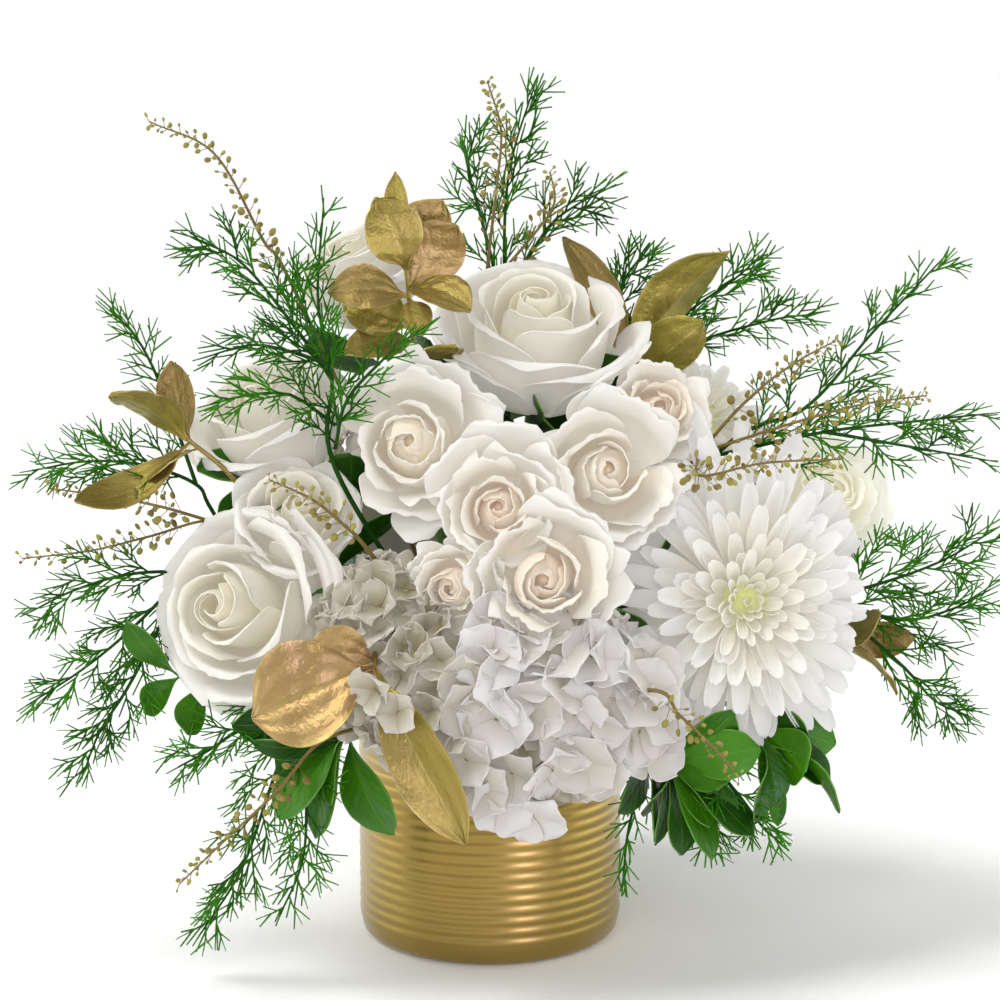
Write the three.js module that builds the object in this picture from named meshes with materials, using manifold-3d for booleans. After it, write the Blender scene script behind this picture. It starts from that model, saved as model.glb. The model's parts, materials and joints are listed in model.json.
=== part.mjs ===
// A white and gold floral centrepiece in a ribbed gold vase.
//
// Millimetres, +Z up, the front faces -Y. The origin is the middle of the vase's underside.
// A block of floral foam stands in the vase and rises above its rim. Every stem is cut short and
// pushed into the foam along a line that points at one spot inside it, so stems fan out and never
// cross. Each bloom is a head of petals on its own green stem; gold leaves, green leaves, fine
// fern and seed sprays fill the gaps between the heads. Where two heads press together, the one
// placed later gives way.

import * as THREE from "three";
import { ConvexHull } from "three/addons/math/ConvexHull.js";
import { mergeVertices } from "three/addons/utils/BufferGeometryUtils.js";
import Module from "manifold-3d";

const wasm = await Module();
wasm.setup();

// ---------------------------------------------------------------- driving dimensions

const VASE_RADIUS = 60;
const VASE_HEIGHT = 105;
const VASE_WALL = 3.6;
const VASE_FLOOR = 6;
const VASE_SIDES = 18;
const RIB_COUNT = 11;
const RIB_RELIEF = 0.9; // from the crest of a rib to its groove
const RIM_BAND = 12; // plain band under the rim
const HEEL_RADIUS = 51; // the flat underside
const HEEL_HEIGHT = 7;

const FOAM_RADIUS = 53;
const FOAM_TOP = 128;
const FOAM_SHOULDER = 112; // where the foam's carved shoulder starts
const FOAM_TOP_RADIUS = 40;
const FOAM_SIDES = 10;

const FOCUS = new THREE.Vector3(0, 0, 100); // the spot every stem points at
const CUT_END = 27; // how far from it the stems stop
const GAP = 0.35; // what a piece is cut back by where it meets another
const CLEAR = 0.2; // the least gap that a leaf, twig or seed may keep

const PETAL = 0.9; // thicknesses
const LEAF = 0.8;
const NEEDLE = 0.36; // radius at the foot

const ROSE_STEM = 2.3; // stem radii
const SPRAY_STEM = 1.7;
const LEAFY_STEM = 1.5;
const FERN_STEM = 1.4;
const SEED_STEM = 1.2;

const WHITE = { color: 0xf2ede2, roughness: 0.75, metalness: 0 };
const BLUSH = { color: 0xf0dfce, roughness: 0.75, metalness: 0 };
const IVORY = { color: 0xeeeedd, roughness: 0.75, metalness: 0 };
const GOLD_GLAZE = { color: 0xb8934a, roughness: 0.3, metalness: 1 };
const GOLD_LEAF = { color: 0xa98a45, roughness: 0.4, metalness: 0.8 };
const GOLD_SEED = { color: 0xa58a4c, roughness: 0.6, metalness: 0.3 };
const LEAF_GREEN = { color: 0x1f6b16, roughness: 0.4, metalness: 0 };
const FERN_GREEN = { color: 0x2c7a2a, roughness: 0.6, metalness: 0 };
const STEM_GREEN = { color: 0x4f7a3a, roughness: 0.7, metalness: 0 };
const FOAM_GREEN = { color: 0x24452c, roughness: 0.95, metalness: 0 };

// ---------------------------------------------------------------- where everything goes

// heart: the middle of the open face. faces: the way it looks. depth: from heart to calyx.
const ROSES = {
  rose_front_left: { heart: [-107, -66, 166], faces: [-0.42, -0.86, 0.28], radius: 38, depth: 44, turn: 20 },
  rose_left_inner: { heart: [-83, -46, 207], faces: [0.05, -0.72, 0.68], radius: 28, depth: 36, turn: 75 },
  rose_top: { heart: [21, -12, 293], faces: [0.05, -0.44, 0.9], radius: 42, depth: 50, turn: 10 },
  rose_left: { heart: [-106, -4, 249], faces: [-0.38, -0.45, 0.82], radius: 35, depth: 42, turn: 50 },
  rose_back_left: { heart: [-64, 35, 312], faces: [-0.3, -0.35, 0.88], radius: 30, depth: 38, turn: 0 },
  rose_back: { heart: [62, 88, 232], faces: [0.42, 0.75, 0.52], radius: 36, depth: 42, turn: 35 },
};
const SPRAY_ROSES = {
  spray_rose_1: { heart: [-34, -72, 238], faces: [-0.12, -0.95, 0.28], radius: 33, depth: 32, turn: 15 },
  spray_rose_2: { heart: [51, -77, 227], faces: [0.12, -0.94, 0.3], radius: 30, depth: 30, turn: 60 },
  spray_rose_3: { heart: [76, -44, 249], faces: [0.3, -0.85, 0.42], radius: 22, depth: 26, turn: 0 },
  spray_rose_4: { heart: [4, -95, 214], faces: [-0.05, -0.95, 0.3], radius: 23, depth: 26, turn: 30 },
  spray_rose_5: { heart: [23, -112, 186], faces: [0, -0.99, 0.12], radius: 29, depth: 30, turn: 45 },
  spray_rose_6: { heart: [-17, -99, 180], faces: [-0.35, -0.92, 0.1], radius: 20, depth: 24, turn: 10 },
  spray_rose_7: { heart: [158, -4, 206], faces: [0.42, -0.8, 0.42], radius: 28, depth: 30, turn: 80 },
};
// Stems that carry more than one spray rose fork at the hub.
const SPRAY_STEMS = {
  spray_stem_left: { hub: null, carries: ["spray_rose_1"] },
  spray_stem_right: { hub: [45, -25, 195], carries: ["spray_rose_2", "spray_rose_3"] },
  spray_stem_centre: { hub: [8, -43, 162], carries: ["spray_rose_4", "spray_rose_5", "spray_rose_6"] },
  spray_stem_far_right: { hub: null, carries: ["spray_rose_7"] },
};
const MUMS = {
  mum_front: { heart: [112, -70, 168], faces: [0.16, -0.96, 0.2], radius: 54, depth: 30, petals: 40 },
  mum_back: { heart: [98, 22, 244], faces: [0.3, -0.5, 0.8], radius: 40, depth: 26, petals: 24 },
};
// heart is the middle of the ball; drop is how far the florets reach behind it, in degrees.
const HYDRANGEAS = {
  hydrangea_front: {
    heart: [9, -82, 121], faces: [0, -0.95, -0.2],
    radius: 68, stretch: [1.06, 0.8, 0.56], florets: 33, reach: 100,
  },
  hydrangea_back: {
    heart: [-38, 72, 186], faces: [-0.35, 0.85, 0.4],
    radius: 52, stretch: [1, 1, 0.8], florets: 20, reach: 100,
  },
};

// A leaf is [base, tip, width, roll in degrees, bow, fold].
const LEAFY = {
  gold_top_left: {
    look: "gold", route: [[-10, -10, 179], [-30, -26, 255], [-36, -34, 308]],
    leaves: [
      [[-36, -34, 306], [-48, -40, 338], 22, -72, 4, 0.25],
      [[-35, -33, 306], [-20, -28, 336], 22, -100, 4, 0.25],
      [[-36, -38, 308], [-40, -42, 349], 10, -60, 2, 0.3],
      [[-34, -34, 297], [-14, -34, 326], 25, -85, 4, 0.15],
      [[-36, -36, 294], [-69, -44, 298], 19, -15, 4, 0.2],
      [[-33, -37, 298], [-8, -56, 292], 19, 10, 4, 0.2],
      [[-34, -33, 280], [-64, -30, 293], 20, -30, 3, 0.2],
      [[-32, -35, 294], [-29, -45, 279], 12, 0, 2, 0.2],
      [[-34, -34, 274], [-62, -47, 271], 18, -30, 3, 0.2],
      [[-33, -35, 268], [-14, -49, 275], 18, -30, -3, 0.2],
    ],
  },
  gold_top_right: {
    look: "gold", route: [[66, 2, 240], [62, 16, 258]],
    leaves: [
      [[62, 15, 257], [34, 36, 316], 17, -50, 5, 0.3],
      [[62, 15, 257], [106, 6, 312], 27, 0, 4, 0.35],
      [[63, 12, 254], [94, -6, 280], 22, -35, -4, 0.6],
      [[62, 15, 257], [58, 40, 284], 12, 0, 2, 0.3],
    ],
  },
  gold_left: {
    look: "gold", route: [[-94, 4, 172], [-112, -22, 212], [-132, -33, 233]],
    leaves: [
      [[-131, -33, 232], [-163, -46, 254], 27, -30, 3, 0.15],
      [[-131, -32, 232], [-138, -34, 267], 15, -75, 3, 0.25],
      [[-130, -34, 231], [-178, -54, 208], 16, 10, -12, 0.3],
      [[-128, -30, 228], [-152, -30, 212], 12, 0, 2, 0.2],
    ],
  },
  gold_front: {
    look: "gold", route: [[-40, -50, 146], [-47, -90, 156], [-47, -110, 149]],
    leaves: [
      [[-47, -110, 149], [-98, -112, 128], 38, 6, 5, 0.18],
      [[-46, -104, 152], [-74, -108, 158], 20, 0, 3, 0.2],
      [[-47, -110, 149], [-11, -132, 76], 26, -12, 6, 0.4],
    ],
  },
  gold_right: {
    look: "gold", route: [[157, -20, 140]],
    leaves: [
      [[154, -20, 139], [188, -30, 143], 14, 0, 3, 0.2],
      [[154, -20, 138], [181, -34, 119], 14, 0, 3, 0.2],
      [[150, -19, 138], [180, -38, 152], 12, 0, 3, 0.2],
    ],
  },
  green_front_left: {
    look: "green", route: [[-56, -62, 122], [-62, -78, 110]],
    leaves: [
      [[-64, -79, 108], [-101, -86, 110], 13, -20, 3, 0.2],
      [[-58, -64, 121], [-112, -62, 118], 18, 0, 4, 0.2],
      [[-61, -77, 110], [-88, -92, 78], 24, 20, 4, 0.15],
      [[-62, -80, 108], [-66, -98, 86], 8, 0, 3, 0.3],
      [[-60, -74, 108], [-74, -78, 66], 17, 10, 4, 0.15],
      [[-58, -73, 110], [-42, -82, 68], 25, 0, 4, 0.15],
    ],
  },
  green_left: {
    look: "green", route: [[-116, -36, 124], [-136, -46, 130]],
    leaves: [
      [[-136, -46, 130], [-156, -62, 158], 13, 0, 3, 0.2],
      [[-136, -42, 133], [-150, -58, 116], 13, 0, 3, 0.2],
      [[-124, -39, 128], [-132, -56, 106], 12, 0, 3, 0.2],
    ],
  },
  green_right_low: {
    look: "green", route: [[64, -30, 120], [112, -52, 116], [120, -60, 104]],
    leaves: [
      [[114, -55, 112], [138, -72, 105], 21, 0, 3, 0.15],
      [[116, -54, 113], [152, -50, 100], 16, 0, 3, 0.15],
      [[119, -60, 103], [147, -68, 88], 18, 0, 3, 0.15],
      [[116, -58, 108], [124, -74, 80], 13, 0, 3, 0.2],
      [[119, -60, 104], [126, -60, 66], 8, 0, 3, 0.2],
    ],
  },
  green_bottom_right: {
    look: "green", route: [[50, -42, 118], [76, -70, 98]],
    leaves: [
      [[76, -70, 98], [70, -88, 66], 12, 0, 3, 0.15],
      [[76, -70, 98], [82, -84, 60], 16, 10, 4, 0.15],
      [[74, -68, 99], [94, -84, 72], 15, 0, 3, 0.15],
      [[74, -68, 100], [107, -78, 76], 13, 0, 3, 0.2],
    ],
  },
  green_back: {
    look: "green", route: [[-4, 66, 143], [-2, 88, 140]],
    leaves: [
      [[-2, 86, 140], [-4, 124, 112], 24, 0, 5, 0.15],
      [[-2, 84, 141], [-52, 104, 108], 24, 0, 5, 0.15],
      [[-2, 84, 141], [46, 110, 116], 24, 0, 5, 0.15],
      [[-3, 74, 142], [-72, 76, 112], 24, 0, 5, 0.15],
      [[-2, 74, 142], [76, 84, 128], 24, 0, 5, 0.15],
      [[-2, 88, 140], [22, 116, 158], 20, 0, 4, 0.15],
      [[-2, 86, 141], [20, 92, 96], 22, 0, 4, 0.15],
      [[-3, 84, 141], [-26, 96, 84], 22, 0, 4, 0.15],
      [[-2, 84, 141], [34, 96, 192], 24, 0, 4, 0.15],
      [[-3, 72, 142], [-84, 66, 168], 24, 0, 4, 0.15],
    ],
  },
};

// A frond is [reach of its side twigs, the points its stalk runs through].
const FERNS = {
  fern_upper_left: {
    route: [[-65, -52, 220]],
    fronds: [
      [30, [[-65, -52, 220], [-67, -55, 262], [-73, -48, 295], [-71, -40, 332]]],
      [30, [[-67, -55, 262], [-85, -48, 286], [-107, -35, 310], [-128, -30, 320]]],
      [24, [[-66, -54, 242], [-84, -62, 256], [-103, -64, 256], [-118, -62, 252]]],
      [15, [[-66, -53, 232], [-59, -90, 257], [-45, -100, 274], [-31, -96, 286]]],
      [22, [[-68, -55, 268], [-85, -56, 274], [-102, -50, 276], [-122, -45, 270]]],
    ],
  },
  fern_left: {
    route: [[-100, 16, 150], [-124, -8, 196], [-130, -18, 210]],
    fronds: [
      [24, [[-130, -18, 210], [-152, -20, 219], [-178, -15, 220], [-204, -10, 215]]],
      [14, [[-130, -18, 210], [-146, 2, 248], [-157, 8, 270], [-169, 10, 284]]],
    ],
  },
  fern_left_low: {
    route: [[-97, 8, 131], [-122, -10, 158], [-134, -30, 172]],
    fronds: [
      [26, [[-134, -30, 172], [-158, -35, 173], [-182, -35, 166], [-203, -30, 155]]],
      [26, [[-134, -30, 172], [-157, -44, 150], [-179, -45, 132], [-204, -40, 115]]],
      [24, [[-134, -30, 172], [-156, -50, 129], [-170, -52, 107], [-178, -50, 88]]],
    ],
  },
  fern_low_left: {
    route: [[-80, -59, 127]],
    fronds: [
      [24, [[-80, -59, 127], [-102, -75, 117], [-119, -80, 106], [-133, -80, 98]]],
      [28, [[-80, -59, 127], [-94, -80, 88], [-107, -80, 52], [-126, -75, 21]]],
      [22, [[-80, -59, 127], [-78, -84, 86], [-80, -86, 58], [-90, -82, 33]]],
    ],
  },
  fern_top: {
    route: [[2, 28, 180], [6, 31, 270]],
    fronds: [
      [26, [[6, 31, 270], [7, 35, 328], [11, 35, 355], [20, 35, 383]]],
      [22, [[6, 32, 285], [-5, 38, 328], [-10, 40, 346], [-6, 40, 365]]],
      [26, [[6, 32, 285], [25, 34, 318], [39, 32, 330], [52, 30, 337]]],
    ],
  },
  fern_top_right: {
    route: [[46, 30, 240]],
    fronds: [
      [22, [[46, 30, 240], [56, 28, 280], [62, 27, 298], [71, 26, 310]]],
      [24, [[46, 30, 240], [84, 34, 276], [110, 28, 296], [121, 26, 306]]],
      [20, [[46, 30, 240], [92, 62, 262], [128, 44, 276], [147, 36, 280]]],
    ],
  },
  fern_right: {
    route: [[100, -12, 222]],
    fronds: [
      [34, [[100, -12, 222], [141, -6, 243], [171, 4, 275], [200, 6, 306]]],
      [28, [[100, -12, 222], [146, -34, 236], [188, -16, 238], [222, -6, 240]]],
      [20, [[146, -34, 236], [186, -26, 228], [221, -12, 220]]],
    ],
  },
  fern_right_low: {
    route: [[97, -6, 146], [150, -14, 158]],
    fronds: [
      [30, [[150, -14, 158], [178, -20, 167], [202, -22, 177], [223, -22, 190]]],
      [28, [[150, -14, 158], [182, -28, 151], [204, -30, 156], [221, -30, 165]]],
      [28, [[150, -14, 158], [182, -34, 132], [197, -35, 116], [212, -35, 109]]],
    ],
  },
  fern_bottom_right: {
    route: [[55, -35, 118], [86, -54, 106]],
    fronds: [
      [18, [[86, -54, 106], [92, -70, 84], [95, -74, 70], [96, -72, 56]]],
      [12, [[66, -42, 114], [66, -64, 92], [60, -70, 66], [58, -70, 43]]],
      [18, [[86, -54, 106], [106, -76, 86], [118, -76, 70], [126, -72, 62]]],
    ],
  },
  fern_back: {
    route: [[60, 58, 142], [78, 74, 150]],
    fronds: [
      [30, [[78, 74, 150], [112, 78, 170], [140, 66, 196], [160, 58, 220]]],
      [30, [[78, 74, 150], [108, 84, 142], [136, 78, 128], [156, 70, 110]]],
      [26, [[78, 74, 150], [60, 108, 160], [30, 128, 168], [0, 134, 176]]],
      [26, [[78, 74, 150], [52, 102, 128], [6, 120, 122], [-60, 112, 134], [-106, 88, 146]]],
    ],
  },
};

// A spray is the points its stalk runs through; seeds hang along its outer part.
const SEEDS = {
  seed_upper_left: {
    route: [[-83, -20, 292]],
    sprays: [[[-83, -20, 292], [-99, -15, 318], [-120, -10, 355], [-149, -5, 369]]],
  },
  seed_top: {
    route: [[-8, 13, 200], [-2, 26, 292]],
    sprays: [
      [[-2, 26, 292], [3, 22, 338], [5, 22, 364], [-1, 20, 386]],
      [[-2, 26, 292], [20, 20, 318], [29, 18, 332], [27, 18, 346]],
    ],
  },
  seed_right: {
    route: [[92, -30, 226]],
    sprays: [
      [[92, -30, 226], [116, -36, 254], [135, -30, 267], [151, -26, 275]],
      [[92, -30, 226], [126, -56, 242], [160, -48, 250], [190, -34, 252]],
      [[92, -30, 226], [88, -90, 226], [114, -94, 232], [147, -84, 232]],
    ],
  },
  seed_left: {
    route: [[-98, -14, 138], [-112, -14, 178], [-122, -32, 196]],
    sprays: [
      [[-122, -32, 196], [-149, -36, 190], [-176, -33, 183], [-206, -30, 179]],
      [[-122, -32, 196], [-142, -46, 205], [-164, -34, 207], [-193, -28, 210]],
    ],
  },
  seed_left_center: {
    route: [[-49, -80, 190]],
    sprays: [[[-49, -80, 190], [-62, -96, 208], [-74, -98, 218], [-91, -94, 225]]],
  },
  seed_low_left: {
    route: [[-44, -76, 116], [-70, -96, 114]],
    sprays: [[[-70, -96, 114], [-88, -108, 96], [-110, -104, 74], [-132, -92, 50]]],
  },
  seed_right_low: {
    route: [[66, -108, 139]],
    sprays: [[[66, -108, 139], [78, -122, 132], [92, -120, 118], [104, -108, 102]]],
  },
};

// ---------------------------------------------------------------- small tools

const at = ([x, y, z]) => new THREE.Vector3(x, y, z);
const rad = THREE.MathUtils.degToRad;
const UP = new THREE.Vector3(0, 0, 1);
const GOLDEN_TURN = Math.PI * (3 - Math.sqrt(5));

// A repeatable number from 0 to 1 for each whole n.
function chance(n) {
  const s = Math.sin(n * 12.9898 + 4.137) * 43758.5453;
  return s - Math.floor(s);
}

// A solid from points and triangles, turned to face out if it came inside out.
function solidFrom(points, triangles) {
  let volume = 0;
  for (const [a, b, c] of triangles)
    volume += points[a].dot(new THREE.Vector3().crossVectors(points[b], points[c]));
  const facing = volume < 0 ? triangles.map(([a, b, c]) => [a, c, b]) : triangles;
  return new wasm.Manifold(
    new wasm.Mesh({
      numProp: 3,
      vertProperties: new Float32Array(points.flatMap((p) => [p.x, p.y, p.z])),
      triVerts: new Uint32Array(facing.flat()),
    }),
  );
}

// A closed three.js geometry as a solid.
function solidOf(geometry) {
  const bare = geometry.clone();
  bare.deleteAttribute("normal");
  bare.deleteAttribute("uv");
  const merged = mergeVertices(bare, 1e-4);
  const position = merged.getAttribute("position");
  const points = [];
  for (let i = 0; i < position.count; i++) points.push(new THREE.Vector3().fromBufferAttribute(position, i));
  const index = [...merged.index.array];
  const triangles = [];
  for (let i = 0; i < index.length; i += 3) {
    const [a, b, c] = index.slice(i, i + 3);
    if (a !== b && b !== c && a !== c) triangles.push([a, b, c]);
  }
  return solidFrom(points, triangles);
}

// The convex hull of some points, as triangles of their numbers.
function hullTriangles(points) {
  const number = new Map(points.map((point, i) => [point, i]));
  const { faces } = new ConvexHull().setFromPoints(points);
  return faces.map(({ edge }) => [edge, edge.next, edge.prev].map((side) => number.get(side.head().point)));
}

const joined = (solids) => wasm.Manifold.union(solids);
const moved = (solid, matrix) => solid.transform(matrix.elements);

// The largest body of a solid: cutting can leave loose scraps.
function mainBody(solid) {
  return solid.decompose().reduce((best, body) => (body.volume() > best.volume() ? body : best));
}

// A round turned shape from its profile of [radius, height] points.
function lathe(profile, sides) {
  const outline = profile.map(([radius, height]) => new THREE.Vector2(radius, height));
  return solidOf(new THREE.LatheGeometry(outline, sides).rotateX(Math.PI / 2));
}

// A thin closed blade from rows of points; a row of one point is a tip. Both faces are split alike.
function sheet(rows, thickness) {
  const points = rows.flat();
  const faces = [];
  let start = 0;
  for (let r = 0; r + 1 < rows.length; r++) {
    const [wide, next] = [rows[r].length, rows[r + 1].length];
    const [a, b] = [start, start + wide];
    for (let c = 0; c + 1 < Math.max(wide, next); c++) {
      if (next === 1) faces.push([a + c, a + c + 1, b]);
      else if (wide === 1) faces.push([a, b + c + 1, b + c]);
      else if (2 * c + 1 < wide - 1) faces.push([a + c, a + c + 1, b + c + 1], [a + c, b + c + 1, b + c]);
      else faces.push([a + c, a + c + 1, b + c], [a + c + 1, b + c + 1, b + c]);
    }
    start += wide;
  }
  const normals = points.map(() => new THREE.Vector3());
  for (const [a, b, c] of faces) {
    const normal = points[b].clone().sub(points[a]).cross(points[c].clone().sub(points[a]));
    for (const i of [a, b, c]) normals[i].add(normal);
  }
  const half = normals.map((normal) => normal.normalize().multiplyScalar(thickness / 2));
  const shell = [
    ...points.map((p, i) => p.clone().add(half[i])),
    ...points.map((p, i) => p.clone().sub(half[i])),
  ];
  const back = points.length;
  const triangles = [...faces, ...faces.map(([a, b, c]) => [a + back, c + back, b + back])];
  const edges = new Set(faces.flatMap(([a, b, c]) => [`${a},${b}`, `${b},${c}`, `${c},${a}`]));
  for (const edge of edges) {
    const [a, b] = edge.split(",").map(Number);
    if (!edges.has(`${b},${a}`)) triangles.push([b, a, a + back], [b, a + back, b + back]);
  }
  return solidFrom(shell, triangles);
}

// A tapering stalk with a ring of points at each point of its route. All its faces stand off by
// grow, and so do its two ends.
function limb(route, startRadius, endRadius, sides, grow = 0) {
  const rings = [];
  const last = route.length - 1;
  const across = UP.clone().cross(route[1].clone().sub(route[0]));
  if (across.lengthSq() < 1) across.set(1, 0, 0);
  route.forEach((point, i) => {
    const along = route[Math.min(i + 1, last)].clone().sub(route[Math.max(i - 1, 0)]).normalize();
    across.addScaledVector(along, -across.dot(along)).normalize();
    const radius = THREE.MathUtils.lerp(startRadius, endRadius, i / last) + grow / Math.cos(Math.PI / sides);
    const middle = point.clone();
    if (i === 0) middle.addScaledVector(along, -grow);
    if (i === last) middle.addScaledVector(along, grow);
    for (let k = 0; k < sides; k++) {
      const arm = across.clone().applyAxisAngle(along, (2 * Math.PI * k) / sides);
      rings.push(middle.clone().addScaledVector(arm, radius));
    }
  });
  const triangles = [];
  for (let i = 0; i < last; i++)
    for (let k = 0; k < sides; k++) {
      const [a, b] = [i * sides + k, i * sides + ((k + 1) % sides)];
      triangles.push([a, b, b + sides], [a, b + sides, a + sides]);
    }
  const top = last * sides;
  for (let k = 1; k + 1 < sides; k++) triangles.push([0, k + 1, k], [top, top + k, top + k + 1]);
  return solidFrom(rings, triangles);
}

// Where a share t of a route's length falls, and which way the route runs there.
function placeOn(route, t) {
  const lengths = route.slice(1).map((point, i) => point.distanceTo(route[i]));
  let left = t * lengths.reduce((sum, length) => sum + length, 0);
  let i = 0;
  while (i < lengths.length - 1 && left > lengths[i]) left -= lengths[i++];
  const along = route[i + 1].clone().sub(route[i]).normalize();
  return { point: route[i].clone().addScaledVector(along, left), along };
}

// The matrix of a bloom: its calyx at the origin, and +Z the way it faces.
function bloomFrame({ heart, faces, depth, turn = 0 }) {
  const out = at(faces).normalize();
  const turned = new THREE.Quaternion()
    .setFromUnitVectors(UP, out)
    .multiply(new THREE.Quaternion().setFromAxisAngle(UP, rad(turn)));
  const calyxPlace = at(heart).addScaledVector(out, -depth);
  return new THREE.Matrix4().compose(calyxPlace, turned, new THREE.Vector3(1, 1, 1));
}

// ---------------------------------------------------------------- vase and foam

function vase() {
  const pitch = (VASE_HEIGHT - RIM_BAND - HEEL_HEIGHT) / RIB_COUNT;
  const ribs = [];
  for (let i = 0; i < RIB_COUNT; i++) {
    const z = HEEL_HEIGHT + i * pitch;
    ribs.push([VASE_RADIUS - RIB_RELIEF, z], [VASE_RADIUS, z + pitch / 2]);
  }
  const inside = VASE_RADIUS - VASE_WALL;
  const underBand = VASE_HEIGHT - RIM_BAND;
  return lathe(
    [
      [0, 0],
      [HEEL_RADIUS, 0],
      [HEEL_RADIUS + 5.5, 2],
      ...ribs,
      [VASE_RADIUS - RIB_RELIEF, underBand],
      [VASE_RADIUS, underBand + 1.5],
      [VASE_RADIUS, VASE_HEIGHT - 1],
      [VASE_RADIUS - VASE_WALL / 2, VASE_HEIGHT],
      [inside, VASE_HEIGHT - 1],
      [inside, VASE_FLOOR],
      [0, VASE_FLOOR],
    ],
    VASE_SIDES,
  );
}

function foam() {
  return lathe(
    [
      [0, VASE_FLOOR + GAP],
      [FOAM_RADIUS, VASE_FLOOR + GAP],
      [FOAM_RADIUS, FOAM_SHOULDER],
      [FOAM_TOP_RADIUS, FOAM_TOP],
      [0, FOAM_TOP],
    ],
    FOAM_SIDES,
  );
}

// ---------------------------------------------------------------- heads, in their own frame

// A petal that wraps round the axis, three points wide, from a narrow foot sunk in the bud.
function wrappedPetal({ azimuth, sweep, foot, belly, lip, skew }) {
  const row = (radius, height, dip, wide) =>
    [-1, 0, 1].map((u) => {
      const angle = azimuth + wide * sweep * u;
      const r = radius + skew * u;
      return new THREE.Vector3(r * Math.cos(angle), r * Math.sin(angle), height - dip * u * u);
    });
  const rise = lip[1] - foot[1];
  const rows = [[new THREE.Vector3(foot[0] * Math.cos(azimuth), foot[0] * Math.sin(azimuth), foot[1])]];
  if (belly) rows.push(row(belly, foot[1] + 0.5 * rise, 0, 0.9));
  rows.push(row(lip[0], lip[1], 0.16 * rise, 0.88));
  return sheet(rows, PETAL);
}

// foot and lip are [radius, height], as shares of the head's radius and depth.
const BUD = [[0, 0], [0.24, 0.2], [0.2, 0.5], [0, 0.95]];
const ROSE_RINGS = [
  { petals: 3, foot: [0.06, 0.4], lip: [0.38, 1.03], sweep: 1.05 },
  { petals: 3, foot: [0.08, 0.24], belly: 0.6, lip: [0.68, 0.98], sweep: 1.08 },
  { petals: 4, foot: [0.1, 0.1], belly: 0.78, lip: [0.98, 0.84], sweep: 0.86 },
];
const SPRAY_RINGS = [
  { petals: 3, foot: [0.06, 0.35], lip: [0.46, 1.03], sweep: 1.0 },
  { petals: 4, foot: [0.1, 0.12], belly: 0.78, lip: [0.94, 0.82], sweep: 0.86 },
];

function petalledHead(rings, { radius, depth }) {
  const scaled = ([r, z]) => [r * radius, z * depth];
  const petals = [lathe(BUD.map(scaled), 5)];
  rings.forEach((ring, n) => {
    for (let k = 0; k < ring.petals; k++)
      petals.push(
        wrappedPetal({
          azimuth: 0.8 * n + (k * 2 * Math.PI) / ring.petals,
          sweep: ring.sweep,
          foot: scaled(ring.foot),
          belly: (ring.belly ?? 0) * radius,
          lip: scaled(ring.lip),
          skew: 0.06 * radius,
        }),
      );
  });
  return joined(petals);
}

const rose = (spec) => petalledHead(ROSE_RINGS, spec);
const sprayRose = (spec) => petalledHead(SPRAY_RINGS, spec);

// Narrow petals in a golden-angle spiral, upright in the middle and laid back at the edge.
function mum({ radius, depth, petals }) {
  const button = [[0, 0.02], [0.36, 0.07], [0.5, 0.45], [0.3, 0.95], [0, 1.1]];
  const centre = new THREE.Vector3(0, 0, 0.3 * depth);
  const blades = [lathe(button.map(([r, z]) => [r * radius, z * depth]), 8)];
  for (let i = 0; i < petals; i++) {
    const share = (i + 0.5) / petals;
    const tilt = rad(12 + 90 * share ** 0.75);
    const reach = radius * (0.66 + 0.34 * share) * (0.95 + 0.1 * chance(i));
    const round = i * GOLDEN_TURN;
    const out = new THREE.Vector3(Math.cos(round), Math.sin(round), 0).multiplyScalar(Math.sin(tilt));
    out.z = Math.cos(tilt);
    const across = new THREE.Vector3(-Math.sin(round), Math.cos(round), 0);
    const under = across.clone().cross(out);
    const on = (along, aside, drop) => {
      const spot = centre.clone().addScaledVector(out, along * reach);
      return spot.addScaledVector(across, aside).addScaledVector(under, drop);
    };
    const half = radius * (0.07 + 0.03 * share);
    blades.push(boat(on(0.3, 0, 1), [on(0.74, -half, 0), on(0.74, half, 0), on(0.7, 0, 2.4)], on(1, 0, 0)));
  }
  return joined(blades);
}

// A slim boat shape: a foot, a ring of three points and a tip.
function boat(foot, ring, tip) {
  return solidFrom([foot, ...ring, tip], [[0, 1, 2], [0, 2, 3], [0, 3, 1], [4, 2, 1], [4, 3, 2], [4, 1, 3]]);
}

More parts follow.
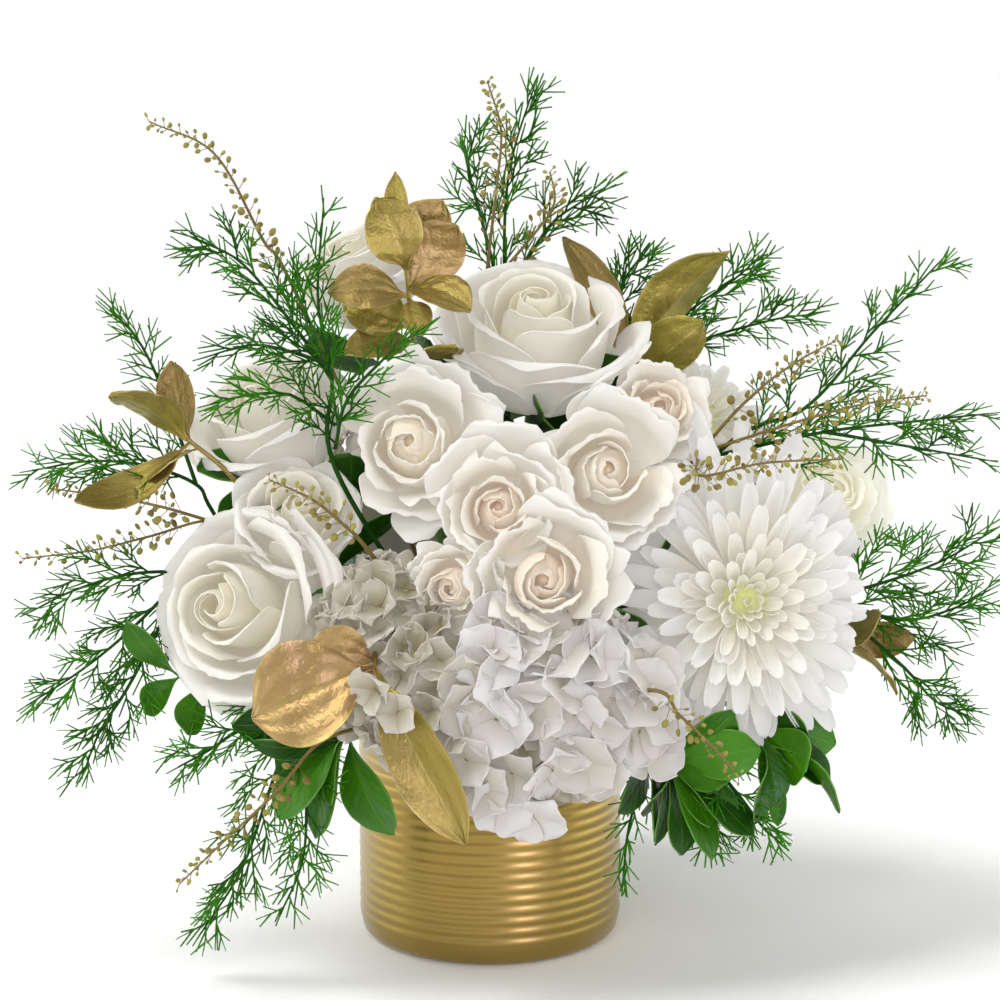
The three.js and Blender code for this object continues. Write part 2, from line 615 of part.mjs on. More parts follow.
// Florets of four lobes on a ball, raised from it by a formula. The eye of each is a little lower
// than its lobes, and the notches and the moat round it are low.
function hydrangea({ radius, stretch, florets, reach }) {
  const share = 1 - Math.cos(rad(reach));
  const size = 0.5 * Math.sqrt((2 * Math.PI * share * 1.15) / florets);
  const low = radius * (1 - 0.75 * size);
  const directions = [];
  const heights = [];
  const put = (direction, height) => {
    directions.push(direction.normalize());
    heights.push(height);
  };
  for (let i = 0; i < florets; i++) {
    const z = 1 - (share * (i + 0.5)) / florets;
    const ring = Math.sqrt(1 - z * z);
    const out = new THREE.Vector3(ring * Math.cos(i * GOLDEN_TURN), ring * Math.sin(i * GOLDEN_TURN), z);
    const side = new THREE.Vector3(0, 1, 0).cross(out).normalize().applyAxisAngle(out, 6 * chance(i + 50));
    const top = radius * (0.98 + 0.04 * chance(i));
    put(out.clone(), 0.95 * top);
    for (let k = 0; k < 8; k++) {
      const arm = side.clone().applyAxisAngle(out, (k * Math.PI) / 4);
      const lobe = k % 2 === 0;
      put(out.clone().addScaledVector(arm, size * (lobe ? 0.84 : 0.62)), lobe ? top : 0.88 * top);
      if (lobe) put(out.clone().addScaledVector(arm, size * 0.99), low);
    }
  }
  for (let k = 0; k < 6; k++) put(new THREE.Vector3(Math.cos(k), Math.sin(k), -1.2), low);
  const points = directions.map((direction, i) =>
    direction.clone().multiplyScalar(heights[i]).multiply(at(stretch)),
  );
  return solidFrom(points, hullTriangles(directions));
}

function calyx({ radius }) {
  return lathe([[0, -0.3 * radius], [0.22 * radius, -0.1 * radius], [0.2 * radius, -GAP], [0, -GAP]], 5);
}

// ---------------------------------------------------------------- stalks, leaves, fern and seeds

// A stalk starts inside the foam, on the line from the focus to the first point of its route.
const cutEnd = (first) => FOCUS.clone().addScaledVector(first.clone().sub(FOCUS).normalize(), CUT_END);

// The runs of one stem. The first branch carries the trunk on, and the others leave from it.
function runsOf(trunk, branches, radius) {
  const [first = [], ...rest] = branches;
  const whole = [...trunk, ...first.slice(1)].map(at);
  const main = { route: [cutEnd(whole[0]), ...whole], radius };
  return [main, ...rest.map((points) => ({ route: points.map(at), radius: 0.8 * radius }))];
}

// All the stalks of a stem, or the room that they take with grow to spare.
function stalks(runs, grow = 0) {
  const sides = (radius) => (radius < 2 ? 3 : 4);
  return joined(runs.map(({ route, radius }) => limb(route, radius, 0.75 * radius, sides(radius), grow)));
}

// The place on a stem that is nearest to a point.
function nearestOn(runs, point) {
  const stretches = runs.flatMap(({ route }) =>
    route.slice(1).map((end, i) => new THREE.Line3(route[i], end)),
  );
  const feet = stretches.map((line) => line.closestPointToPoint(point, true, new THREE.Vector3()));
  return feet.reduce((best, foot) => (foot.distanceTo(point) < best.distanceTo(point) ? foot : best));
}

// A pointed leaf folded along its midrib, with its face turned away from the middle of the vase.
function leaf(from, [tip, width, roll, bow, fold], lift) {
  const reach = at(tip).sub(from);
  const face = from.clone().addScaledVector(reach, 0.5).sub(new THREE.Vector3(0, 0, 130));
  const across = reach.clone().cross(face).normalize();
  reach.applyAxisAngle(across, rad(lift));
  face.copy(across).cross(reach).normalize();
  const along = reach.clone().normalize();
  across.applyAxisAngle(along, rad(roll));
  face.applyAxisAngle(along, rad(roll));
  const station = (t, half) => {
    const rib = from.clone().addScaledVector(reach, t).addScaledVector(face, bow * Math.sin(Math.PI * t));
    const edge = (s) => rib.clone().addScaledVector(across, s * half).addScaledVector(face, fold * half);
    return [edge(-1), rib, edge(1)];
  };
  const wide = [station(0.32, 0.46 * width), station(0.64, 0.44 * width)];
  const narrow = [station(0.45, 0.5 * width)];
  return sheet([[from], ...(width > 20 ? wide : narrow), [from.clone().add(reach)]], LEAF);
}

// A three-sided needle, its foot inside the stalk.
function needle(from, way, length) {
  const side = UP.clone().cross(way).normalize();
  const foot = [0, 1, 2].map((k) =>
    from.clone().addScaledVector(side.clone().applyAxisAngle(way, (k * 2 * Math.PI) / 3), NEEDLE),
  );
  const tip = from.clone().addScaledVector(way, length);
  return solidFrom([...foot, tip], [[0, 2, 1], [0, 1, 3], [1, 2, 3], [2, 0, 3]]);
}

// A seed on its short stalk, as one solid.
function seed(from, way, length, size) {
  const side = UP.clone().cross(way).normalize();
  const ring = [0, 1, 2].map((k) =>
    from
      .clone()
      .addScaledVector(way, length - 1.3 * size)
      .addScaledVector(side.clone().applyAxisAngle(way, (k * 2 * Math.PI) / 3), size),
  );
  return boat(from, ring, from.clone().addScaledVector(way, length));
}

// ---------------------------------------------------------------- putting it together

const nodes = []; // { name, solid, look, frame }
const sleeves = {}; // each stem, grown by the gap
const envelopes = {}; // each head's hull, grown by the gap

function boxesMeet(a, b) {
  const [p, q] = [a.boundingBox(), b.boundingBox()];
  return [0, 1, 2].every((i) => p.min[i] - 1 < q.max[i] && q.min[i] - 1 < p.max[i]);
}

const cutBy = (solid, cutters) =>
  cutters.filter((cutter) => boxesMeet(solid, cutter)).reduce((left, cutter) => left.subtract(cutter), solid);

const sleevesBut = (name) => Object.keys(sleeves).filter((key) => key !== name).map((key) => sleeves[key]);

// Whether a small piece of a stem keeps off the nodes made so far and the stems still to come.
function isClear(piece, name) {
  const offNodes = nodes.every(({ solid }) => !boxesMeet(piece, solid) || piece.minGap(solid, 1) >= CLEAR);
  return offNodes && sleevesBut(name).every((s) => !boxesMeet(piece, s) || piece.intersect(s).isEmpty());
}

// The first of a few bent versions of a piece that is clear, or nothing.
function firstClear(make, bends, name) {
  for (const bend of bends) {
    const piece = make(bend);
    if (!piece.isEmpty() && isClear(piece, name)) return [piece];
  }
  return [];
}

// The convex hull of a head, grown a little from its middle.
function envelopeOf(head) {
  const { vertProperties } = head.getMesh();
  const { min, max } = head.boundingBox();
  const middle = at(min).add(at(max)).multiplyScalar(0.5);
  const growth = at(max).sub(middle).toArray().map((half) => 1 + (2 * GAP) / half);
  const points = [];
  for (let i = 0; i < vertProperties.length; i += 3)
    points.push(at(vertProperties.slice(i, i + 3)).sub(middle).multiply(at(growth)).add(middle));
  return solidFrom(points, hullTriangles(points));
}

function add(name, solid, look, frame = new THREE.Matrix4()) {
  nodes.push({ name, solid: mainBody(solid), look, frame });
}

// Every stem is laid out first, so that what comes later can keep clear of it.
const underHead = (spec, share) => {
  const out = at(spec.faces).normalize();
  return at(spec.heart).addScaledVector(out, -(spec.depth ?? 0) - share * spec.radius).toArray();
};
const stems = {};
for (const [name, spec] of Object.entries({ ...ROSES, ...MUMS }))
  stems[`${name}_stem`] = { runs: runsOf([underHead(spec, 0.25)], [], ROSE_STEM), carries: [spec] };
for (const [name, { hub, carries }] of Object.entries(SPRAY_STEMS)) {
  const specs = carries.map((head) => SPRAY_ROSES[head]);
  const ends = specs.map((spec) => underHead(spec, 0.25));
  const runs = hub ? runsOf([hub], ends.map((end) => [hub, end]), SPRAY_STEM) : runsOf(ends, [], SPRAY_STEM);
  stems[name] = { runs, carries: specs };
}
for (const [name, spec] of Object.entries(HYDRANGEAS)) {
  const foot = underHead(spec, 0.35);
  foot[2] = Math.max(foot[2], 124);
  stems[`${name}_stem`] = { runs: runsOf([foot], [], 1.3 * ROSE_STEM), carries: [] };
}
for (const [name, { route }] of Object.entries(LEAFY)) stems[name] = { runs: runsOf(route, [], LEAFY_STEM) };
for (const [name, { route, fronds }] of Object.entries(FERNS))
  stems[name] = { runs: runsOf(route, fronds.map(([, points]) => points), FERN_STEM) };
for (const [name, { route, sprays }] of Object.entries(SEEDS))
  stems[name] = { runs: runsOf(route, sprays, SEED_STEM) };

const calyxes = ({ carries = [] }, grow = 0) =>
  carries.map((spec) => moved(calyx({ radius: spec.radius + grow }), bloomFrame(spec)));
for (const [name, stem] of Object.entries(stems))
  sleeves[name] = joined([stalks(stem.runs, GAP), ...calyxes(stem, 5 * GAP)]);

// The room kept free for the vase and what stands in it.
const ROOM = [VASE_RADIUS + 1, VASE_HEIGHT + 1];
const vaseRoom = lathe([[0, 0], [ROOM[0], 0], ROOM, [0, ROOM[1]]], 24);
const foamRoom = foam().scale([1.02, 1.02, 1]).translate([0, 0, 2 * GAP]);

add("vase", vase(), GOLD_GLAZE);
add("foam", cutBy(foam(), Object.values(sleeves)), FOAM_GREEN);
for (const [name, stem] of Object.entries(stems).filter(([, { carries }]) => carries))
  add(name, cutBy(joined([stalks(stem.runs), ...calyxes(stem)]), sleevesBut(name)), STEM_GREEN);

// Heads, front ones first: each keeps clear of every stem and of the heads before it.
const HEADS = {
  spray_rose_5: [SPRAY_ROSES, sprayRose, BLUSH],
  spray_rose_4: [SPRAY_ROSES, sprayRose, BLUSH],
  spray_rose_1: [SPRAY_ROSES, sprayRose, BLUSH],
  spray_rose_2: [SPRAY_ROSES, sprayRose, BLUSH],
  rose_front_left: [ROSES, rose, WHITE],
  mum_front: [MUMS, mum, WHITE],
  spray_rose_6: [SPRAY_ROSES, sprayRose, BLUSH],
  spray_rose_3: [SPRAY_ROSES, sprayRose, BLUSH],
  rose_top: [ROSES, rose, WHITE],
  rose_left_inner: [ROSES, rose, WHITE],
  rose_left: [ROSES, rose, WHITE],
  spray_rose_7: [SPRAY_ROSES, sprayRose, BLUSH],
  mum_back: [MUMS, mum, WHITE],
  rose_back_left: [ROSES, rose, WHITE],
  hydrangea_front: [HYDRANGEAS, hydrangea, IVORY],
  rose_back: [ROSES, rose, WHITE],
  hydrangea_back: [HYDRANGEAS, hydrangea, IVORY],
};
for (const [name, [table, make, look]] of Object.entries(HEADS)) {
  const spec = { depth: 0, ...table[name] };
  const frame = bloomFrame(spec);
  const cutters = [...Object.values(sleeves), ...Object.values(envelopes), vaseRoom, foamRoom];
  const head = mainBody(cutBy(moved(make(spec), frame), cutters));
  envelopes[name] = envelopeOf(head);
  add(name, head, look, frame);
}

// Leafy stems: a blade that meets something is lifted clear, and trimmed only where that fails.
const LIFTS = [0, -10, 10, -20, 20, -32, 32];
for (const [name, { look, leaves }] of Object.entries(LEAFY)) {
  const cutters = [...Object.values(envelopes), ...sleevesBut(name), vaseRoom, foamRoom];
  const { runs } = stems[name];
  const blades = leaves.flatMap(([base, ...shape]) => {
    const make = (lift) => leaf(nearestOn(runs, at(base)), shape, lift);
    const whole = firstClear(make, LIFTS, name);
    return whole.length ? whole : firstClear((lift) => cutBy(make(lift), cutters), LIFTS, name);
  });
  add(name, joined([stalks(runs), ...blades]), look === "gold" ? GOLD_LEAF : LEAF_GREEN);
}

const SEEDS_PER_SPRAY = 5;
for (const [name, { sprays }] of Object.entries(SEEDS)) {
  const seeds = sprays.flatMap((points) => {
    const route = points.map(at);
    return [...Array(SEEDS_PER_SPRAY).keys()].flatMap((k) => {
      const t = 0.35 + (0.63 * k) / (SEEDS_PER_SPRAY - 1);
      const { point, along } = placeOn(route, t);
      const make = (bend) => {
        const side = UP.clone().cross(along).normalize().applyAxisAngle(along, k * GOLDEN_TURN + bend);
        return seed(point, side.addScaledVector(along, 0.7).normalize(), 9 - 2.5 * t, 1.9 - 0.5 * t);
      };
      return firstClear(make, [0, 1.5, 3, 4.5], name);
    });
  });
  add(name, joined([stalks(stems[name].runs), ...seeds]), GOLD_SEED);
}

// Fern: needles leave a frond's stalk left and right, in pairs of a long and a short one.
const NEEDLES_PER_FROND = 5;
for (const [name, { fronds }] of Object.entries(FERNS)) {
  const needles = fronds.flatMap(([reach, points], n) => {
    const route = points.map(at);
    return [...Array(NEEDLES_PER_FROND).keys()].flatMap((k) => {
      const t = 0.16 + (0.8 * k) / (NEEDLES_PER_FROND - 1);
      const { point, along } = placeOn(route, t);
      const viewed = new THREE.Vector3(0, point.y > 50 ? 1 : -1, 0.25);
      const side = along.clone().cross(viewed).normalize().multiplyScalar(k % 2 === 0 ? 1 : -1);
      const length = reach * (1.2 - 0.8 * t) * (0.8 + 0.4 * chance(10 * n + k));
      const lean = rad(34 + 20 * chance(10 * n + k + 5));
      const make = (bend) => {
        const sideways = side.clone().applyAxisAngle(along, rad(bend));
        const way = along.clone().multiplyScalar(Math.cos(lean)).addScaledVector(sideways, Math.sin(lean));
        return needle(point, way, length);
      };
      return firstClear(make, [0, 30, -30, 60, -60], name);
    });
  });
  add(name, joined([stalks(stems[name].runs), ...needles]), FERN_GREEN);
}

// ---------------------------------------------------------------- the scene graph

function geometryOf(solid) {
  const { vertProperties, triVerts } = solid.getMesh();
  const geometry = new THREE.BufferGeometry();
  geometry.setAttribute("position", new THREE.BufferAttribute(vertProperties, 3));
  geometry.setIndex(new THREE.BufferAttribute(triVerts, 1));
  geometry.computeVertexNormals();
  return geometry;
}

const centrepiece = new THREE.Group();
for (const { name, solid, look, frame } of nodes) {
  const geometry = geometryOf(moved(solid, frame.clone().invert()));
  const mesh = new THREE.Mesh(geometry, new THREE.MeshStandardMaterial(look));
  mesh.name = name;
  frame.decompose(mesh.position, mesh.quaternion, mesh.scale);
  centrepiece.add(mesh);
}

export default centrepiece;
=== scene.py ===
import json
import math
import random
from collections import namedtuple

import bpy
import numpy as np
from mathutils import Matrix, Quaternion, Vector

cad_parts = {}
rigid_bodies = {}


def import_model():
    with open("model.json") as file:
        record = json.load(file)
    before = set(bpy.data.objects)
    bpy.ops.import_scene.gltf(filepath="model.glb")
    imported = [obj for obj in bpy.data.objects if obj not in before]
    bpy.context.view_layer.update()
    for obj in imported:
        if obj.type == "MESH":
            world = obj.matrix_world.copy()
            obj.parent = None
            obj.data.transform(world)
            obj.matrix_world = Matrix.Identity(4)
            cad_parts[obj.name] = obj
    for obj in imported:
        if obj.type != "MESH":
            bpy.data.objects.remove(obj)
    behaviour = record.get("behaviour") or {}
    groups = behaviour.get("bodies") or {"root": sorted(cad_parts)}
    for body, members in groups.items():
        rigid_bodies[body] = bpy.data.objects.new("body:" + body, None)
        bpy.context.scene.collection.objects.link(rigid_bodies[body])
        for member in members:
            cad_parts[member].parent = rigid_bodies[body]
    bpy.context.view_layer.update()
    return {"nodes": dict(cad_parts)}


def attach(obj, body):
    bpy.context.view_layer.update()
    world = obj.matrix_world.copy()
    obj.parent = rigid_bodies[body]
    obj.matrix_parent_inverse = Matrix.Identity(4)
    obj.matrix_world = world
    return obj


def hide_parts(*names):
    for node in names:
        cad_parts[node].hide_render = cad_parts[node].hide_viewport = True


# A white and gold floral centrepiece in a ribbed gold vase.
# The tables and shapes below are in millimetres, and MM takes them to the scene's metres. +Z is up and
# the front of the arrangement faces -Y. Every stem starts in a block of floral foam, on a line
# through FOCUS, and every bloom looks the way its table says.

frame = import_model()

MM = 0.001
UP = Vector((0, 0, 1))
GOLDEN_TURN = math.pi * (3 - math.sqrt(5))

FOCUS = np.array([0.0, 0.0, 100.0])
CUT_END = 27.0  # how far from the focus the stems stop

# ---------------------------------------------------------------- where everything stands

VASE = {"radius": 60, "height": 105, "wall": 3.6, "floor": 6, "heel": 51, "rim_band": 12}
HEEL_CURVE = [(0, 0), (3.2, 0.35), (5.8, 1.6), (7.5, 3.6)]  # (out, up) from the edge of the foot
RIBS = {"count": 17, "relief": 0.34, "first": 9}
FOAM = {"radius": 53, "base": 6.35, "shoulder": 112, "top": 128, "top_radius": 40}

# heart is the middle of the open face, and depth runs from there to the calyx. drift moves the
# innermost petals off the middle. Each of the wings is one broad outer petal: the way it opens, its
# reach and its breadth as shares of the radius, and its lift as a share of the depth.
ROSES = {
    "rose_front_left": dict(
        heart=(-110, -66, 166), faces=(-0.42, -0.86, 0.28), radius=40, depth=44, turn=20, drift=(-9, -1, 0),
        wings=[
            ((0.9, 0, 0.3), 1.06, 0.95, 0.12), ((0.4, 0, -1), 1.04, 0.9, 0.1),
            ((-0.6, 0, 0.8), 1.0, 0.9, 0.1),
        ],
    ),
    "rose_left_inner": dict(heart=(-83, -46, 207), faces=(0.05, -0.72, 0.68), radius=28, depth=36, turn=75),
    "rose_top": dict(
        heart=(21, -12, 293), faces=(0.05, -0.44, 0.9), radius=42, depth=50, turn=10,
        wings=[((1, -0.5, -0.1), 1.08, 0.8, 0.1), ((-0.9, -0.6, 0), 1.0, 0.8, 0.05)],
    ),
    "rose_left": dict(heart=(-106, -4, 249), faces=(-0.38, -0.45, 0.82), radius=35, depth=42, turn=50),
    "rose_back_left": dict(heart=(-64, 35, 312), faces=(-0.3, -0.35, 0.88), radius=30, depth=38, turn=0),
    "rose_back": dict(heart=(62, 88, 232), faces=(0.42, 0.75, 0.52), radius=36, depth=42, turn=35),
}
SPRAY_ROSES = {
    "spray_rose_1": dict(heart=(-34, -72, 238), faces=(-0.12, -0.95, 0.28), radius=33, depth=32, turn=15),
    "spray_rose_2": dict(heart=(51, -77, 227), faces=(0.12, -0.94, 0.3), radius=30, depth=30, turn=60),
    "spray_rose_3": dict(heart=(76, -44, 249), faces=(0.3, -0.85, 0.42), radius=22, depth=26, turn=0),
    "spray_rose_4": dict(
        heart=(4, -95, 214), faces=(-0.05, -0.95, 0.3), radius=23, depth=26, turn=30,
        wings=[
            ((0.1, 0, 1), 1.45, 0.95, -0.1), ((0.9, 0, 0.5), 1.25, 0.8, 0),
            ((-0.7, 0, 0.8), 1.3, 0.85, -0.1),
        ],
    ),
    "spray_rose_5": dict(heart=(23, -112, 186), faces=(0, -0.99, 0.12), radius=29, depth=30, turn=45),
    "spray_rose_6": dict(heart=(-17, -99, 180), faces=(-0.35, -0.92, 0.1), radius=20, depth=24, turn=10),
    "spray_rose_7": dict(heart=(158, -4, 206), faces=(0.42, -0.8, 0.42), radius=28, depth=30, turn=80),
}
# How peach the heart of each spray rose is, from 0 to 1.
BLUSH = {
    "spray_rose_1": 0.1, "spray_rose_2": 0.35, "spray_rose_3": 0.9, "spray_rose_4": 1.0,
    "spray_rose_5": 0.75, "spray_rose_6": 0.8, "spray_rose_7": 0.0,
}
SPRAY_STEMS = {
    "spray_stem_left": (None, ["spray_rose_1"]),
    "spray_stem_right": ((45, -25, 195), ["spray_rose_2", "spray_rose_3"]),
    "spray_stem_centre": ((8, -43, 162), ["spray_rose_4", "spray_rose_5", "spray_rose_6"]),
    "spray_stem_far_right": (None, ["spray_rose_7"]),
}
MUMS = {
    "mum_front": dict(heart=(112, -70, 168), faces=(0.16, -0.96, 0.2), radius=54, depth=30, rays=175),
    "mum_back": dict(heart=(98, 22, 244), faces=(0.3, -0.5, 0.8), radius=40, depth=26, rays=100),
}
# stretch flattens the ball, and reach is how far the florets go round it from the front, in degrees.
# The florets are small and green to the left of young. lobe is a second, smaller ball of florets, and
# more lists single ones.
HYDRANGEAS = {
    "hydrangea_front": dict(
        heart=(9, -82, 121), faces=(0, -0.95, -0.2), radius=68, stretch=(1.06, 0.8, 0.56), florets=150,
        reach=104,
        young=-8,
        lobe=dict(heart=(-40, -76, 152), faces=(-0.4, -0.9, 0.3), radii=(31, 34, 26), florets=60, reach=110),
        more=[(-46, -121, 143), (-37, -126, 134)],
    ),
    "hydrangea_back": dict(
        heart=(-38, 72, 186), faces=(-0.35, 0.85, 0.4), radius=52, stretch=(1, 1, 0.8), florets=100,
        reach=108,
        young=-60,
    ),
}

# A leaf is (base, tip, width, roll in degrees, bow, fold).
LEAFY = {
    "gold_top_left": dict(
        look="gold", route=[(-10, -10, 179), (-30, -26, 255), (-36, -34, 308)],
        leaves=[
            ((-36, -34, 306), (-48, -40, 338), 22, -72, 4, 0.25),
            ((-35, -33, 306), (-20, -28, 336), 22, -100, 4, 0.25),
            ((-36, -38, 308), (-40, -42, 349), 10, -60, 2, 0.3),
            ((-34, -34, 297), (-14, -34, 326), 25, -85, 4, 0.15),
            ((-36, -36, 294), (-69, -44, 298), 19, -45, 4, 0.2),
            ((-33, -37, 298), (-8, -56, 292), 19, 10, 4, 0.2),
            ((-34, -33, 280), (-64, -30, 293), 20, -50, 3, 0.2),
            ((-32, -35, 294), (-29, -45, 279), 12, 0, 2, 0.2),
            ((-34, -34, 274), (-62, -47, 271), 18, -30, 3, 0.2),
            ((-33, -35, 268), (-14, -49, 275), 18, -30, -3, 0.2),
        ],
    ),
    "gold_top_right": dict(
        look="gold", route=[(66, 2, 240), (62, 16, 258)],
        leaves=[
            ((62, 15, 257), (34, 36, 316), 17, -50, 5, 0.3),
            ((62, 15, 257), (106, 6, 312), 27, 0, 4, 0.35),
            ((63, 12, 254), (94, -6, 280), 22, -35, -4, 0.6),
            ((62, 15, 257), (58, 40, 284), 12, 0, 2, 0.3),
        ],
    ),
    "gold_left": dict(
        look="gold", route=[(-94, 4, 172), (-112, -22, 212), (-132, -33, 233)],
        leaves=[
            ((-131, -33, 232), (-163, -46, 254), 27, -30, 3, 0.15),
            ((-131, -32, 232), (-138, -34, 267), 15, -75, 3, 0.25),
            ((-130, -34, 231), (-178, -54, 208), 16, -50, -12, 0.3),
            ((-128, -30, 228), (-152, -30, 212), 12, 0, 2, 0.2),
        ],
    ),
    "gold_front": dict(
        look="gold", route=[(-40, -50, 146), (-47, -90, 156), (-47, -110, 149)],
        leaves=[
            ((-47, -110, 149), (-98, -112, 128), 38, 6, 5, 0.18),
            ((-46, -104, 152), (-74, -108, 158), 20, 0, 3, 0.2),
            ((-47, -110, 149), (-9, -131, 80), 22, -12, 6, 0.4),
        ],
    ),
    "gold_right": dict(
        look="gold", route=[(157, -20, 140)],
        leaves=[
            ((154, -20, 139), (188, -30, 143), 14, 0, 3, 0.2),
            ((154, -20, 138), (181, -34, 119), 14, 0, 3, 0.2),
            ((150, -19, 138), (180, -38, 152), 12, 0, 3, 0.2),
        ],
    ),
    "green_front_left": dict(
        look="green", route=[(-56, -62, 122), (-62, -78, 110)],
        leaves=[
            ((-64, -79, 108), (-101, -86, 110), 13, -20, 3, 0.2),
            ((-58, -64, 121), (-112, -62, 118), 18, 0, 4, 0.2),
            ((-61, -77, 110), (-88, -92, 78), 24, 20, 4, 0.15),
            ((-62, -80, 108), (-66, -98, 86), 8, 0, 3, 0.3),
            ((-60, -74, 108), (-74, -78, 66), 17, 10, 4, 0.15),
            ((-58, -73, 110), (-42, -82, 68), 25, 0, 4, 0.15),
            ((-58, -66, 119), (-90, -88, 100), 22, -20, 4, 0.15),
        ],
    ),
    "green_left": dict(
        look="green", route=[(-116, -36, 124), (-136, -46, 130)],
        leaves=[
            ((-136, -46, 130), (-156, -62, 158), 13, 60, 3, 0.2),
            ((-136, -42, 133), (-150, -58, 116), 13, 60, 3, 0.2),
            ((-124, -39, 128), (-132, -56, 106), 14, 65, 3, 0.2),
        ],
    ),
    "green_right_low": dict(
        look="green", route=[(64, -30, 120), (112, -52, 116), (120, -60, 104)],
        leaves=[
            ((114, -55, 112), (138, -72, 105), 21, 0, 3, 0.15),
            ((116, -54, 113), (152, -50, 100), 16, 0, 3, 0.15),
            ((119, -60, 103), (147, -68, 88), 18, 0, 3, 0.15),
            ((116, -58, 108), (124, -74, 80), 13, 55, 3, 0.2),
            ((119, -60, 104), (126, -60, 66), 8, 40, 3, 0.2),
            ((119, -60, 104), (150, -80, 78), 26, -20, 4, 0.15),
            ((116, -56, 110), (134, -84, 96), 22, -30, 4, 0.15),
            ((118, -58, 106), (112, -82, 74), 20, 0, 4, 0.15),
        ],
    ),
    "green_bottom_right": dict(
        look="green", route=[(50, -42, 118), (76, -70, 98)],
        leaves=[
            ((76, -70, 98), (70, -88, 66), 12, 0, 3, 0.15),
            ((76, -70, 98), (82, -84, 60), 16, 10, 4, 0.15),
            ((74, -68, 99), (94, -84, 72), 15, 0, 3, 0.15),
            ((74, -68, 100), (107, -78, 76), 13, 0, 3, 0.2),
            ((74, -68, 99), (112, -84, 68), 20, -30, 3, 0.15),
            ((76, -70, 98), (64, -92, 82), 18, -20, 3, 0.15),
            ((74, -66, 100), (104, -76, 92), 20, -40, 3, 0.15),
            ((76, -70, 98), (94, -92, 60), 18, 0, 3, 0.15),
            ((70, -62, 104), (54, -86, 80), 18, 0, 3, 0.15),
            ((70, -62, 104), (64, -86, 66), 16, 0, 3, 0.15),
            ((76, -68, 98), (104, -80, 122), 22, -20, 3, 0.15),
            ((76, -68, 98), (116, -78, 106), 20, -40, 3, 0.15),
        ],
    ),
    "green_back": dict(
        look="green", route=[(-4, 66, 143), (-2, 88, 140)],
        leaves=[
            ((-2, 86, 140), (-4, 124, 112), 24, 0, 5, 0.15),
            ((-2, 84, 141), (-52, 104, 108), 24, 0, 5, 0.15),
            ((-2, 84, 141), (46, 110, 116), 24, 0, 5, 0.15),
            ((-3, 74, 142), (-72, 76, 112), 24, 0, 5, 0.15),
            ((-2, 74, 142), (76, 84, 128), 24, 0, 5, 0.15),
            ((-2, 88, 140), (22, 116, 158), 20, 0, 4, 0.15),
            ((-2, 86, 141), (20, 92, 96), 22, 0, 4, 0.15),
            ((-3, 84, 141), (-26, 96, 84), 22, 0, 4, 0.15),
            ((-2, 84, 141), (34, 96, 192), 24, 0, 4, 0.15),
            ((-3, 72, 142), (-84, 66, 168), 24, 0, 4, 0.15),
        ],
    ),
}

# The leaves on the flowers' own stems, as (base, tip, width).
STEM_LEAVES = {
    "rose_top_stem": [
        ((14, -6, 205), (-24, -28, 232), 22), ((14, -6, 205), (44, -24, 228), 22),
        ((17, -7, 225), (58, 0, 264), 22),
        ((10, -4, 190), (8, -44, 204), 20), ((17, -7, 225), (-26, 8, 262), 20),
        ((8, -3, 175), (36, -50, 186), 20),
        ((18, -8, 228), (22, -46, 244), 24), ((17, -7, 222), (-10, -38, 242), 24),
        ((17, -7, 222), (48, -30, 246), 24),
    ],
    "rose_left_inner_stem": [
        ((-50, -26, 168), (-74, -62, 168), 22), ((-44, -22, 160), (-38, -64, 176), 22),
        ((-36, -18, 150), (-62, -62, 146), 20), ((-58, -32, 178), (-30, -40, 204), 20),
    ],
    "rose_back_left_stem": [((-50, 26, 250), (-84, 0, 268), 22), ((-46, 24, 240), (-30, 0, 272), 22)],
    "rose_left_stem": [
        ((-70, -2, 205), (-104, -40, 200), 22), ((-60, -2, 190), (-60, -30, 226), 20),
        ((-80, -2, 212), (-130, -18, 216), 22), ((-76, -2, 208), (-120, -26, 192), 22),
        ((-42, -2, 150), (-90, -12, 116), 26), ((-42, -2, 150), (-86, 20, 120), 26),
        ((-40, -2, 146), (-76, -36, 118), 24),
        ((-52, -2, 168), (-100, 10, 150), 24), ((-56, -2, 176), (-98, 14, 182), 24),
        ((-48, -2, 160), (-70, 34, 172), 24),
        ((-60, -2, 186), (-84, 20, 206), 22),
    ],
    "mum_front_stem": [((60, -38, 140), (52, -74, 168), 22), ((66, -42, 144), (80, -50, 196), 22)],
    "spray_stem_far_right": [
        ((52, -2, 132), (92, -14, 112), 26), ((52, -2, 132), (88, 18, 116), 26),
        ((48, -2, 130), (74, -36, 122), 24),
        ((60, -2, 138), (96, 14, 148), 24), ((70, -2, 144), (108, -22, 160), 22),
        ((46, -2, 128), (68, 34, 132), 26),
        ((84, -3, 156), (112, 14, 178), 22),
    ],
    "rose_back_stem": [
        ((34, 44, 150), (76, 48, 116), 26), ((34, 44, 150), (48, 82, 118), 26),
        ((38, 50, 160), (82, 44, 176), 24),
        ((30, 40, 144), (14, 84, 130), 24), ((44, 58, 176), (20, 74, 206), 24),
        ((44, 58, 176), (88, 58, 150), 22),
    ],
    "mum_back_stem": [
        ((50, 8, 168), (82, 20, 190), 22), ((44, 6, 160), (60, 36, 190), 24),
        ((38, 5, 150), (78, 10, 158), 22),
    ],
    "hydrangea_back_stem": [
        ((-22, 40, 140), (-66, 46, 112), 26), ((-22, 40, 140), (-34, 84, 114), 26),
        ((-24, 44, 144), (-82, 30, 140), 24),
        ((-20, 36, 136), (-58, 10, 124), 24),
    ],
    "spray_stem_right": [((40, -24, 185), (66, -48, 196), 20), ((40, -24, 185), (24, -50, 226), 20)],
}

